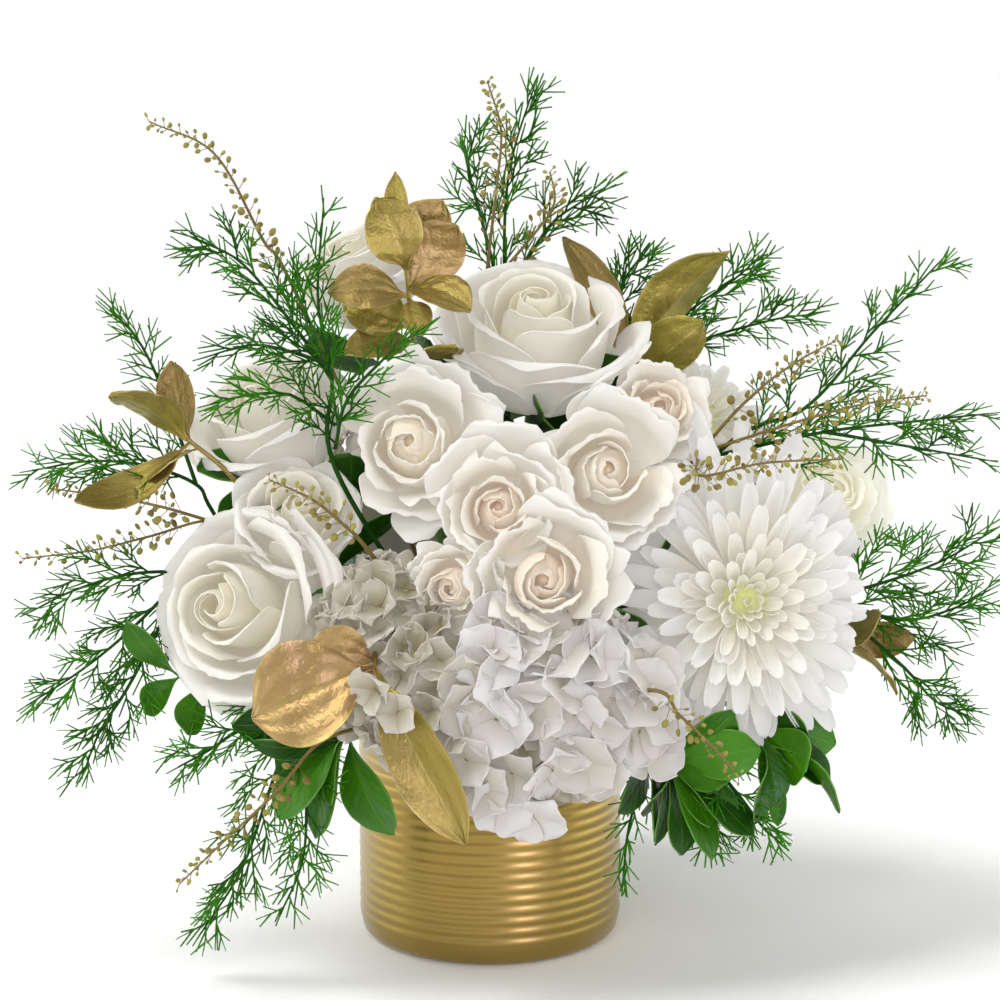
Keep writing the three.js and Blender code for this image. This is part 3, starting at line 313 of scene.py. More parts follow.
# How much copper is in the gold of these leaves, each named by its stem and its tip. The light copper tone is
# partly the copper of their paint and partly a painted highlight where these leaves face the light. The other
# leaves take theirs by chance.
COPPER_AND_HIGHLIGHT = {
    ("gold_front", (-98, -112, 128)): 1.15, ("gold_front", (-74, -108, 158)): 1.0,
    ("gold_front", (-9, -131, 80)): 0.3,
    ("gold_top_left", (-14, -34, 326)): 1.0,
}

# Each frond is (reach of its side twigs, the points that its stalk runs through), and gap is the space
# between its twigs where it is not TWIG_GAP.
TWIG_GAP = 6.2
FERNS = {
    "fern_upper_left": dict(
        route=[(-65, -52, 220)],
        fronds=[
            (20, [(-65, -52, 220), (-67, -55, 262), (-73, -48, 295), (-71, -40, 332)]),
            (30, [(-67, -55, 262), (-85, -48, 286), (-107, -35, 310), (-128, -30, 320)]),
            (24, [(-66, -54, 242), (-84, -62, 256), (-103, -64, 256), (-118, -62, 252)]),
            (15, [(-66, -53, 232), (-59, -90, 257), (-45, -100, 274), (-31, -96, 286)]),
            (22, [(-68, -55, 268), (-85, -56, 274), (-102, -50, 276), (-122, -45, 270)]),
        ],
    ),
    "fern_left": dict(
        gap=4.4, route=[(-100, 16, 150), (-124, -8, 196), (-130, -18, 210)],
        fronds=[
            (28, [(-130, -18, 210), (-152, -20, 219), (-178, -15, 220), (-204, -10, 215)]),
            (14, [(-130, -18, 210), (-146, 2, 248), (-157, 8, 270), (-169, 10, 284)]),
        ],
    ),
    "fern_left_low": dict(
        gap=6.9, route=[(-97, 8, 131), (-122, -10, 158), (-134, -30, 172)],
        fronds=[
            (26, [(-134, -30, 172), (-158, -35, 173), (-182, -35, 166), (-203, -30, 155)]),
            (26, [(-134, -30, 172), (-157, -44, 150), (-179, -45, 132), (-204, -40, 115)]),
            (24, [(-134, -30, 172), (-156, -50, 129), (-170, -52, 107), (-178, -50, 88)]),
        ],
    ),
    "fern_low_left": dict(
        gap=6.9, route=[(-80, -59, 127)],
        fronds=[
            (24, [(-80, -59, 127), (-102, -75, 117), (-119, -80, 106), (-133, -80, 98)]),
            (28, [(-80, -59, 127), (-94, -80, 88), (-107, -80, 52), (-126, -75, 21)]),
            (22, [(-80, -59, 127), (-78, -84, 86), (-80, -86, 58), (-90, -82, 33)]),
        ],
    ),
    "fern_top": dict(
        gap=7.9, route=[(2, 28, 180), (6, 31, 270)],
        fronds=[
            (26, [(6, 31, 270), (7, 35, 328), (11, 35, 355), (20, 35, 383)]),
            (22, [(6, 32, 285), (-5, 38, 328), (-10, 40, 346), (-6, 40, 365)]),
            (26, [(6, 32, 285), (25, 34, 318), (39, 32, 330), (52, 30, 337)]),
        ],
    ),
    "fern_top_right": dict(
        route=[(46, 30, 240)],
        fronds=[
            (22, [(46, 30, 240), (56, 28, 280), (62, 27, 298), (71, 26, 310)]),
            (24, [(46, 30, 240), (84, 34, 276), (110, 28, 296), (121, 26, 306)]),
            (20, [(46, 30, 240), (92, 62, 262), (128, 44, 276), (147, 36, 280)]),
        ],
    ),
    "fern_right": dict(
        gap=9.2, route=[(100, -12, 222)],
        fronds=[
            (34, [(100, -12, 222), (141, -6, 243), (171, 4, 275), (200, 6, 306)]),
            (28, [(100, -12, 222), (146, -34, 236), (188, -16, 238), (222, -6, 240)]),
            (20, [(146, -34, 236), (186, -26, 228), (221, -12, 220)]),
        ],
    ),
    "fern_right_low": dict(
        gap=7.0, route=[(97, -6, 146), (150, -14, 158)],
        fronds=[
            (30, [(150, -14, 158), (178, -20, 167), (202, -22, 177), (223, -22, 190)]),
            (28, [(150, -14, 158), (182, -28, 151), (204, -30, 156), (221, -30, 165)]),
            (28, [(150, -14, 158), (182, -34, 132), (197, -35, 116), (212, -35, 109)]),
        ],
    ),
    "fern_bottom_right": dict(
        route=[(55, -35, 118), (86, -54, 106)],
        fronds=[
            (18, [(86, -54, 106), (92, -70, 84), (95, -74, 70), (96, -72, 56)]),
            (12, [(66, -42, 114), (66, -64, 92), (60, -70, 66), (58, -70, 43)]),
            (18, [(86, -54, 106), (106, -76, 86), (118, -76, 70), (126, -72, 62)]),
        ],
    ),
    "fern_back": dict(
        route=[(60, 58, 142), (78, 74, 150)],
        fronds=[
            (30, [(78, 74, 150), (112, 78, 170), (140, 66, 196), (160, 58, 220)]),
            (30, [(78, 74, 150), (108, 84, 142), (136, 78, 128), (156, 70, 110)]),
            (26, [(78, 74, 150), (60, 108, 160), (30, 128, 168), (0, 134, 176)]),
            (26, [(78, 74, 150), (52, 102, 128), (6, 120, 122), (-60, 112, 134), (-106, 88, 146)]),
        ],
    ),
}

SEEDS = {
    "seed_upper_left": dict(
        route=[(-83, -20, 292)],
        sprays=[[(-83, -20, 292), (-99, -15, 318), (-120, -10, 355), (-149, -5, 369)]],
    ),
    "seed_top": dict(
        route=[(-8, 13, 200), (-2, 26, 292)],
        sprays=[
            [(-2, 26, 292), (3, 22, 338), (5, 22, 364), (-1, 20, 386)],
            [(-2, 26, 292), (20, 20, 318), (29, 18, 332), (27, 18, 346)],
        ],
    ),
    "seed_right": dict(
        route=[(92, -30, 226)],
        sprays=[
            [(92, -30, 226), (116, -36, 254), (135, -30, 267), (151, -26, 275)],
            [(92, -30, 226), (126, -56, 242), (160, -48, 250), (190, -34, 252)],
            [(92, -30, 226), (88, -90, 226), (114, -94, 232), (147, -84, 232)],
        ],
    ),
    "seed_left": dict(
        route=[(-98, -14, 138), (-112, -14, 178), (-122, -32, 196)],
        sprays=[
            [(-122, -32, 196), (-149, -36, 190), (-176, -33, 183), (-206, -30, 179)],
            [(-122, -32, 196), (-142, -46, 205), (-164, -34, 207), (-193, -28, 210)],
        ],
    ),
    "seed_left_center": dict(
        route=[(-49, -80, 190)],
        sprays=[[(-49, -80, 190), (-62, -96, 208), (-74, -98, 218), (-91, -94, 225)]],
    ),
    "seed_low_left": dict(
        route=[(-44, -76, 116), (-70, -96, 114)],
        sprays=[[(-70, -96, 114), (-88, -108, 96), (-110, -104, 74), (-132, -92, 50)]],
    ),
    "seed_right_low": dict(
        route=[(66, -108, 139)],
        sprays=[[(66, -108, 139), (78, -122, 132), (92, -120, 118), (104, -108, 102)]],
    ),
}

# ---------------------------------------------------------------- hand tools

Shape = namedtuple("Shape", "points loops counts")
SMOOTH_ANGLE = 60  # faces that meet at less, in degrees, are shaded as one


def lay_down():
    """Deselects everything, so that the next operator works on its own piece."""
    for thing in bpy.context.selected_objects:
        thing.select_set(False)


def pick_up(thing):
    lay_down()
    thing.select_set(True)
    bpy.context.view_layer.objects.active = thing


def blank_from(thing):
    """The points and faces of a primitive as a blank to copy, with the primitive itself taken away."""
    mesh = thing.data
    points = np.empty(3 * len(mesh.vertices), np.float32)
    loops = np.empty(len(mesh.loops), np.int32)
    counts = np.empty(len(mesh.polygons), np.int32)
    mesh.vertices.foreach_get("co", points)
    mesh.loops.foreach_get("vertex_index", loops)
    mesh.polygons.foreach_get("loop_total", counts)
    bpy.data.objects.remove(thing)
    return Shape(points.reshape(-1, 3).astype(float), loops, counts)


def flat_blank(columns, rows):
    """A flat strip to bend: x runs from -1 to 1 across it, and y from 0 at its foot to 1 at its tip."""
    lay_down()
    bpy.ops.mesh.primitive_grid_add(x_subdivisions=columns, y_subdivisions=rows, size=2)
    bpy.ops.object.mode_set(mode="EDIT")
    bpy.ops.transform.resize(value=(1, 0.5, 1))
    bpy.ops.transform.translate(value=(0, 0.5, 0))
    bpy.ops.object.mode_set(mode="OBJECT")
    return blank_from(bpy.context.object)


def needle_blank(sides, tip):
    """A slim spike from 0 to 1 along z, its foot of radius 1 and its tip of radius tip."""
    lay_down()
    bpy.ops.mesh.primitive_cone_add(vertices=sides, radius1=1, radius2=tip, depth=1, location=(0, 0, 0))
    bpy.ops.object.mode_set(mode="EDIT")
    bpy.ops.transform.translate(value=(0, 0, 0.5))
    bpy.ops.object.mode_set(mode="OBJECT")
    return blank_from(bpy.context.object)


def pod_blank(segments, rings, flatness):
    """A flattened ball of radius 1."""
    lay_down()
    bpy.ops.mesh.primitive_uv_sphere_add(segments=segments, ring_count=rings, radius=1)
    bpy.ops.object.mode_set(mode="EDIT")
    bpy.ops.transform.resize(value=(1, flatness, 1.15))
    bpy.ops.object.mode_set(mode="OBJECT")
    return blank_from(bpy.context.object)


class Cluster:
    """Copies of blanks gathered into one mesh. Each copy carries its flat coordinates and a tone."""

    def __init__(self):
        self.points = []
        self.loops = []
        self.counts = []
        self.flat = []
        self.tones = []
        self.size = 0

    def add(self, blank, points, tone, flat=None):
        """Adds a copy, bent to points. Its flat coordinates are the blank's own where none are given."""
        flat = np.broadcast_to(blank.points[:, :2] if flat is None else flat, (len(points), 2))
        self.points.append(points)
        self.loops.append(blank.loops + self.size)
        self.counts.append(blank.counts)
        self.flat.append(flat[blank.loops])
        self.tones.append(np.broadcast_to(np.asarray(tone, float), (len(points),)))
        self.size += len(points)

    def piece(self, name, material, slot, node, thickness=0.0):
        """The finished piece, in metres, riding on the part and standing for its node."""
        mesh = bpy.data.meshes.new(name)
        points = np.concatenate(self.points) * MM
        loops = np.concatenate(self.loops).astype(np.int32)
        counts = np.concatenate(self.counts)
        starts = (np.cumsum(counts) - counts).astype(np.int32)
        mesh.vertices.add(len(points))
        mesh.vertices.foreach_set("co", points.astype(np.float32).ravel())
        mesh.loops.add(len(loops))
        mesh.loops.foreach_set("vertex_index", loops)
        mesh.polygons.add(len(starts))
        mesh.polygons.foreach_set("loop_start", starts)
        mesh.update(calc_edges=True)
        flat = mesh.uv_layers.new(name="flat")
        flat.data.foreach_set("uv", np.concatenate(self.flat).astype(np.float32).ravel())
        tone = mesh.attributes.new("tone", "FLOAT", "POINT")
        tone.data.foreach_set("value", np.concatenate(self.tones).astype(np.float32))
        mesh.validate()
        thing = bpy.data.objects.new(name, mesh)
        bpy.context.scene.collection.objects.link(thing)
        pick_up(thing)
        if thickness:
            wall = thing.modifiers.new("wall", "SOLIDIFY")
            wall.thickness = thickness * MM
            wall.offset = 0
            bpy.ops.object.modifier_apply(modifier="wall")
        bpy.ops.object.shade_smooth_by_angle(angle=math.radians(SMOOTH_ANGLE))
        return dress(thing, material, slot, node)


def dress(thing, material, slot, node):
    thing.data.materials.clear()
    thing.data.materials.append(material)
    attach(thing, "root")
    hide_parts(node)
    lay_down()
    return thing


def smooth_through(knots, share):
    """A smooth curve through evenly spaced knots, read at each share from 0 to 1."""
    knots = np.asarray(knots, float)
    knots = knots.reshape(len(knots), -1)
    share = np.clip(np.asarray(share, float), 0, 1)
    last = len(knots) - 1
    place = share * last
    cell = np.minimum(place.astype(int), last - 1)
    t = (place - cell)[..., None]
    padded = np.vstack([2 * knots[0] - knots[1], knots, 2 * knots[-1] - knots[-2]])
    a, b, c, d = (padded[cell + i] for i in range(4))
    curve = 0.5 * (2 * b + (c - a) * t + (2 * a - 5 * b + 4 * c - d) * t**2 + (3 * b - a - 3 * c + d) * t**3)
    return curve if knots.shape[1] > 1 else curve[..., 0]


def unit(vector):
    return vector / max(np.linalg.norm(vector), 1e-9)


def any_way(dice, reach=1.0):
    """A direction by chance, not of length 1."""
    return np.array([dice.uniform(-reach, reach) for _ in range(3)])


def frame_along(way, hint):
    """Three directions as columns: the last runs along way, and the first leans to hint."""
    along = unit(way)
    side = hint - along * hint.dot(along)
    if np.linalg.norm(side) < 1e-6:
        side = np.cross(along, [1.0, 0.3, 0.2])
    side = unit(side)
    return np.column_stack([side, np.cross(along, side), along])


def turned_about(vector, axis, angle):
    return np.array(Quaternion(Vector(axis), angle) @ Vector(vector))


def limb(cluster, route, radii, sides, tone):
    """A closed tapering stalk along a row of points."""
    route = np.asarray(route, float)
    count = len(route)
    along = np.gradient(route, axis=0)
    side = np.cross([0.0, 0.0, 1.0], route[-1] - route[0])
    if np.linalg.norm(side) < 1e-3:
        side = np.array([1.0, 0.0, 0.0])
    rings = []
    turns = np.arange(sides) * 2 * math.pi / sides
    for point, way, radius in zip(route, along, radii):
        axes = frame_along(way, side)
        side = axes[:, 0]
        circle = np.cos(turns)[:, None] * axes[:, 0] + np.sin(turns)[:, None] * axes[:, 1]
        rings.append(point + radius * circle)
    points = np.vstack(rings)
    ring = np.arange(sides)
    step = np.roll(ring, -1)
    band = np.column_stack([ring, step, step + sides, ring + sides])
    quads = np.vstack([band + i * sides for i in range(count - 1)])
    loops = np.concatenate([quads.ravel(), ring[::-1], ring + (count - 1) * sides]).astype(np.int32)
    counts = np.concatenate([np.full(len(quads), 4), [sides, sides]]).astype(np.int32)
    share = np.repeat(np.linspace(0, 1, count), sides)
    flat = np.column_stack([np.tile(turns / (2 * math.pi), count), share])
    cluster.add(Shape(points, loops, counts), points, tone, flat)


def bloom_place(heart, faces, depth=0, turn=0, **_):
    """The axes of a bloom as columns, with the last one the way it faces, and its calyx."""
    out = Vector(faces).normalized()
    turned = UP.rotation_difference(out) @ Quaternion(UP, math.radians(turn))
    return np.array(turned.to_matrix()), np.array(heart, float) - depth * np.array(out)


def under_head(spec, share):
    out = np.array(Vector(spec["faces"]).normalized())
    return np.array(spec["heart"], float) - out * (spec.get("depth", 0) + share * spec["radius"])


def cut_end(first):
    return FOCUS + CUT_END * unit(np.array(first, float) - FOCUS)


def runs_of(trunk, branches):
    """The runs of one stem. The first branch carries the trunk on, and the others leave from it."""
    whole = [np.array(p, float) for p in list(trunk) + (list(branches[0][1:]) if branches else [])]
    return [np.array([cut_end(whole[0]), *whole])] + [np.array(points, float) for points in branches[1:]]


def nearest_on(runs, point):
    best = None
    for route in runs:
        for start, end in zip(route[:-1], route[1:]):
            way = end - start
            foot = start + way * np.clip(np.dot(point - start, way) / way.dot(way), 0, 1)
            if best is None or np.linalg.norm(foot - point) < np.linalg.norm(best - point):
                best = foot
    return best


def smooth_route(route, step=6.0):
    """A route with more points, on a smooth curve through the given ones."""
    length = np.linalg.norm(np.diff(route, axis=0), axis=1).sum()
    return smooth_through(route, np.linspace(0, 1, max(4, int(length / step) + 1)))


def node_points(name):
    mesh = frame["nodes"][name].data
    points = np.empty(3 * len(mesh.vertices), np.float32)
    mesh.vertices.foreach_get("co", points)
    return points.reshape(-1, 3) / MM


# ---------------------------------------------------------------- finishes


def finish(name, roughness, metallic=0.0, **constants):
    """A new material and its shader, with what is the same all over set on the shader itself."""
    material = bpy.data.materials.new(name)
    material.use_nodes = True
    shader = material.node_tree.nodes["Principled BSDF"]
    shader.inputs["Roughness"].default_value = roughness
    shader.inputs["Metallic"].default_value = metallic
    for socket, value in constants.items():
        shader.inputs[socket.replace("_", " ")].default_value = value
    return material, shader


def node(material, kind, **settings):
    """A node with its settings; a setting that names an input is linked to it or set on it."""
    made = material.node_tree.nodes.new(kind)
    for key, value in settings.items():
        key = key.replace("_", " ") if key.replace("_", " ") in made.inputs else key
        if key in made.inputs:
            if isinstance(value, bpy.types.NodeSocket):
                material.node_tree.links.new(value, made.inputs[key])
            else:
                made.inputs[key].default_value = value
        else:
            setattr(made, key, value)
    return made


def math_node(material, operation, a, b=None):
    made = material.node_tree.nodes.new("ShaderNodeMath")
    made.operation = operation
    for socket, value in zip(made.inputs, (a, b)):
        if isinstance(value, bpy.types.NodeSocket):
            material.node_tree.links.new(value, socket)
        elif value is not None:
            socket.default_value = value
    return made.outputs[0]


def ramp(material, factor, stops):
    made = node(material, "ShaderNodeValToRGB", Fac=factor)
    elements = made.color_ramp.elements
    while len(elements) < len(stops):
        elements.new(0.5)
    for element, (place, colour) in zip(elements, stops):
        element.position = place
        element.color = (*colour, 1)
    return made.outputs["Color"]


def blended(material, factor, first, second, kind="MIX"):
    made = material.node_tree.nodes.new("ShaderNodeMix")
    made.data_type = "RGBA"
    made.blend_type = kind
    for socket, value in ((made.inputs[0], factor), (made.inputs[6], first), (made.inputs[7], second)):
        if isinstance(value, bpy.types.NodeSocket):
            material.node_tree.links.new(value, socket)
        else:
            socket.default_value = value if isinstance(value, float) else (*value, 1)
    return made.outputs[2]


def place_of(material, stretch=(1, 1, 1)):
    """Object coordinates, drawn out by stretch."""
    coords = node(material, "ShaderNodeTexCoord")
    return node(material, "ShaderNodeMapping", Vector=coords.outputs["Object"], Scale=stretch).outputs[0]


def noise(material, scale, detail=3.0, vector=None, roughness=0.5):
    vector = place_of(material) if vector is None else vector
    made = node(
        material, "ShaderNodeTexNoise", Vector=vector, Scale=scale, Detail=detail, Roughness=roughness,
    )
    return made.outputs[0]


def across_and_along(material):
    """How far across and along its own petal or leaf each point lies."""
    flat = node(material, "ShaderNodeUVMap", uv_map="flat")
    parts = node(material, "ShaderNodeSeparateXYZ", Vector=flat.outputs[0])
    return parts.outputs[0], parts.outputs[1], flat.outputs[0]


def tone_of(material):
    return node(material, "ShaderNodeAttribute", attribute_name="tone").outputs["Fac"]


def colour_and_relief(material, shader, colour, height=None, strength=0.3, distance=0.0004):
    links = material.node_tree.links
    links.new(colour, shader.inputs["Base Color"])
    if height is not None:
        bump = node(material, "ShaderNodeBump", Height=height, Strength=strength, Distance=distance)
        links.new(bump.outputs[0], shader.inputs["Normal"])
    return material


def petal_finish(name, deep, middle, lip, painted_glow=0.14, turn=0.5):
    """A thin petal: deep colour at its foot and in the heart of the head, paler towards the lip.

    turn is where the colour reaches its middle, and painted_glow is a faint warm emission: painted light that
    stands in for light coming through the petal and lifts the shade between the petals."""
    # Painted glow: a faint warm emission that stands in for light through the petal and lifts the shade
    # between the petals.
    material, shader = finish(
        name, 0.66, Subsurface_Weight=0.3, Subsurface_Radius=(0.004, 0.0038, 0.0034),
        Subsurface_Scale=1.0, Sheen_Weight=0.1, Sheen_Roughness=0.4,
        Emission_Color=(1.0, 0.955, 0.87, 1), Emission_Strength=painted_glow,
    )
    _, along, flat = across_and_along(material)
    outer = math_node(material, "MULTIPLY", tone_of(material), 0.62)
    height = math_node(material, "MULTIPLY", along, 0.4)
    share = math_node(material, "ADD", outer, height)
    clouds = math_node(material, "SUBTRACT", noise(material, 45), 0.5)
    share = math_node(material, "ADD", share, math_node(material, "MULTIPLY", clouds, 0.22))
    colour = ramp(material, share, [(0.12, deep), (turn, middle), (0.86, lip)])
    veins = node(
        material, "ShaderNodeTexWave", Vector=flat, Scale=3.2, Distortion=3.0, Detail=2.0,
        bands_direction="X",
    )
    return colour_and_relief(material, shader, colour, veins.outputs["Fac"], 0.06, 0.0003)


def leaf_finish(name, dark, light, rib, rim, roughness, vein_count, crinkle, **constants):
    """A leaf with a midrib and side veins, dark to light from leaf to leaf."""
    material, shader = finish(name, roughness, **constants)
    across, along, flat = across_and_along(material)
    aside = math_node(material, "ABSOLUTE", across)
    ahead = math_node(material, "MULTIPLY", along, vein_count)
    behind = math_node(material, "MULTIPLY", aside, 0.28 * vein_count)
    chevron = math_node(material, "MULTIPLY", math_node(material, "SUBTRACT", ahead, behind), math.pi)
    side_veins = math_node(material, "ABSOLUTE", math_node(material, "SINE", chevron))
    vein = math_node(material, "LESS_THAN", side_veins, 0.12)
    midrib = math_node(material, "LESS_THAN", aside, 0.03)
    patches = math_node(material, "MULTIPLY", noise(material, 60, 4.0), 0.45)
    share = math_node(material, "ADD", math_node(material, "MULTIPLY", tone_of(material), 0.7), patches)
    colour = ramp(material, share, [(0.15, dark), (0.95, light)])
    colour = blended(material, math_node(material, "MULTIPLY", vein, 0.12), colour, rib)
    colour = blended(material, math_node(material, "MULTIPLY", midrib, 0.6), colour, rib)
    edge = math_node(material, "GREATER_THAN", aside, 0.955)
    colour = blended(material, math_node(material, "MULTIPLY", edge, 0.6), colour, rim)
    drawn_out = node(material, "ShaderNodeMapping", Vector=flat, Scale=(9, 26, 1)).outputs[0]
    wrinkles = math_node(material, "MULTIPLY", noise(material, 1.0, 5.0, drawn_out, 0.62), crinkle)
    relief = math_node(material, "ADD", math_node(material, "MULTIPLY", side_veins, 0.35), wrinkles)
    return colour_and_relief(material, shader, colour, relief, 0.5, 0.0006)


def twig_finish(name, dark, light, roughness, scale=120, gloss=0.5):
    """Fine green or dry growth: its colour follows the tone, with a fine grain."""
    material, shader = finish(name, roughness, Specular_IOR_Level=gloss)
    grain = noise(material, scale)
    share = math_node(material, "ADD", tone_of(material), math_node(material, "MULTIPLY", grain, 0.35))
    colour = ramp(material, share, [(0.1, dark), (1.0, light)])
    return colour_and_relief(material, shader, colour, grain, 0.2, 0.0002)


def vase_finish():
    """Satin gold, turned: fine level scratches, and a slow drift from gold to green gold."""
    material, shader = finish("satin_gold", 0.32, metallic=1.0, Coat_Weight=0.4, Coat_Roughness=0.28)
    slow = noise(material, 9)
    colour = ramp(material, slow, [(0.3, (0.29, 0.19, 0.036)), (0.7, (0.33, 0.225, 0.05))])
    scratches = noise(material, 1.0, 4.0, place_of(material, (14, 14, 2600)))
    return colour_and_relief(material, shader, colour, scratches, 0.12, 0.0002)


def foam_finish():
    material, shader = finish("wet_foam", 0.9)
    cells = noise(material, 900, 2.0)
    colour = ramp(material, cells, [(0.3, (0.008, 0.035, 0.012)), (0.7, (0.02, 0.075, 0.028))])
    return colour_and_relief(material, shader, colour, cells, 0.6, 0.0008)


# Every petal finish below has a painted glow, a faint emission that lifts the shade in the hearts of the
# heads.
ROSE_PETAL = petal_finish("rose_petal", (0.55, 0.48, 0.24), (0.60, 0.57, 0.485), (0.61, 0.595, 0.56))
CREAM_PETAL = petal_finish(
    "cream_petal", (0.60, 0.58, 0.32), (0.66, 0.65, 0.53), (0.66, 0.66, 0.60), painted_glow=0.2,
)
MUM_PETAL = petal_finish("mum_petal", (0.52, 0.54, 0.13), (0.61, 0.59, 0.47), (0.60, 0.59, 0.58), painted_glow=0.13)
# The floret's deep colour is partly the green of its eye and core and partly painted shade, made dark for the
# gaps between the florets.
FLORET = petal_finish(
    "hydrangea_floret", (0.15, 0.12, 0.022), (0.42, 0.38, 0.31), (0.57, 0.55, 0.55), painted_glow=0.07, turn=0.45,
)
GOLD_LEAF = leaf_finish(
    "gold_leaf", (0.29, 0.25, 0.034), (0.44, 0.29, 0.115), (0.46, 0.37, 0.11), (0.48, 0.38, 0.14),
    0.36, 7, 1.9, metallic=0.8,
)
GREEN_LEAF = leaf_finish(
    "green_leaf", (0.002, 0.030, 0.001), (0.06, 0.24, 0.002), (0.08, 0.25, 0.01), (0.14, 0.32, 0.05),
    0.40, 8, 0.3, Specular_IOR_Level=0.22, Coat_Weight=0.04, Coat_Roughness=0.2,
)
FERN = twig_finish("fern_green", (0.002, 0.016, 0.003), (0.035, 0.19, 0.002), 0.6, gloss=0.1)
SEED = twig_finish("seed_gold", (0.13, 0.07, 0.02), (0.30, 0.27, 0.05), 0.5, gloss=0.3)
STEM = twig_finish("stem_green", (0.05, 0.13, 0.02), (0.16, 0.30, 0.06), 0.5, 60)

# ---------------------------------------------------------------- vase and foam


def vase():
    """Drawn up from its round foot ring by ring, over the rim and down to the floor inside."""
    inside = VASE["radius"] - VASE["wall"]
    ribs_end = VASE["height"] - VASE["rim_band"]
    pitch = (ribs_end - RIBS["first"]) / RIBS["count"]
    profile = [(VASE["heel"] + out, up) for out, up in HEEL_CURVE]
    for rib in range(RIBS["count"]):
        for share in (0.0, 0.15, 0.3, 0.5, 0.7, 0.85):
            sink = RIBS["relief"] * math.cos(math.pi * share) ** 2
            profile.append((VASE["radius"] - sink, RIBS["first"] + (rib + share) * pitch))
    profile += [
        (VASE["radius"] - RIBS["relief"], ribs_end), (VASE["radius"] - 0.2, ribs_end + 0.8),
        (VASE["radius"], ribs_end + 2), (VASE["radius"], VASE["height"] - 1.4),
        (VASE["radius"] - 0.5, VASE["height"] - 0.4), (VASE["radius"] - 1.8, VASE["height"]),
        (inside + 0.5, VASE["height"] - 0.4), (inside, VASE["height"] - 1.4), (inside, VASE["floor"] + 3),
        (inside - 3, VASE["floor"]),
    ]
    lay_down()
    first = profile[0][0]
    bpy.ops.mesh.primitive_circle_add(vertices=128, radius=first * MM, fill_type="NGON", location=(0, 0, 0))
    body = bpy.context.object
    body.name = "vase_body"
    bpy.ops.object.mode_set(mode="EDIT")
    bpy.ops.mesh.select_all(action="SELECT")
    for (before, low), (after, high) in zip(profile, profile[1:]):
        bpy.ops.mesh.extrude_region_move(TRANSFORM_OT_translate={"value": (0, 0, (high - low) * MM)})
        bpy.ops.transform.resize(value=(after / before, after / before, 1))
    bpy.ops.mesh.select_all(action="SELECT")
    bpy.ops.mesh.normals_make_consistent(inside=False)
    bpy.ops.object.mode_set(mode="OBJECT")
    bpy.ops.object.shade_smooth_by_angle(angle=math.radians(40))
    return dress(body, vase_finish(), "vase_metal", "vase")


def foam():
    """A carved block: a round with a sloping shoulder and a torn surface."""
    depth = (FOAM["shoulder"] - FOAM["base"]) * MM
    lay_down()
    bpy.ops.mesh.primitive_cylinder_add(
        vertices=64, radius=FOAM["radius"] * MM, depth=depth, location=(0, 0, FOAM["base"] * MM + depth / 2),
    )
    block = bpy.context.object
    block.name = "foam_block"
    bpy.ops.object.transform_apply(location=True, rotation=True, scale=True)
    bpy.ops.object.mode_set(mode="EDIT")
    bpy.ops.mesh.select_all(action="DESELECT")
    bpy.ops.object.mode_set(mode="OBJECT")
    for face in block.data.polygons:
        face.select = face.normal.z > 0.9
    bpy.ops.object.mode_set(mode="EDIT")
    rise = (FOAM["top"] - FOAM["shoulder"]) * MM
    shrink = FOAM["top_radius"] / FOAM["radius"]
    bpy.ops.mesh.extrude_region_move(TRANSFORM_OT_translate={"value": (0, 0, rise)})
    bpy.ops.transform.resize(value=(shrink, shrink, 1))
    for _ in range(4):
        bpy.ops.mesh.inset(thickness=0.008)
    bpy.ops.mesh.select_all(action="SELECT")
    bpy.ops.mesh.subdivide(number_cuts=2)
    bpy.ops.transform.vertex_random(offset=0.0007, seed=3)
    bpy.ops.mesh.select_all(action="SELECT")
    bpy.ops.mesh.normals_make_consistent(inside=False)
    bpy.ops.object.mode_set(mode="OBJECT")
    return dress(block, foam_finish(), "foam", "foam")


# ---------------------------------------------------------------- petals and heads

ROSE_SHEET = flat_blank(16, 24)
SPRAY_SHEET = flat_blank(20, 20)
RAY_SHEET = flat_blank(8, 11)
SEPAL_SHEET = flat_blank(8, 8)
GREEN_SHEET = flat_blank(4, 7)
LEAF_SHEET = flat_blank(18, 30)
NEEDLE = needle_blank(4, 0.75)
POD = pod_blank(8, 5, 0.6)
BALL = pod_blank(20, 12, 1.0)

PETAL_OUTLINE = [0.3, 0.62, 0.86, 1.0, 1.0, 0.82]
RAY_OUTLINE = [0.40, 0.48, 0.68, 0.92, 1.06, 0.90]
SEPAL_OUTLINE = [0.16, 0.58, 0.9, 1.06, 1.04, 0.84, 0.34]
CALYX_OUTLINE = [0.8, 1.0, 0.85, 0.55, 0.25, 0.05]

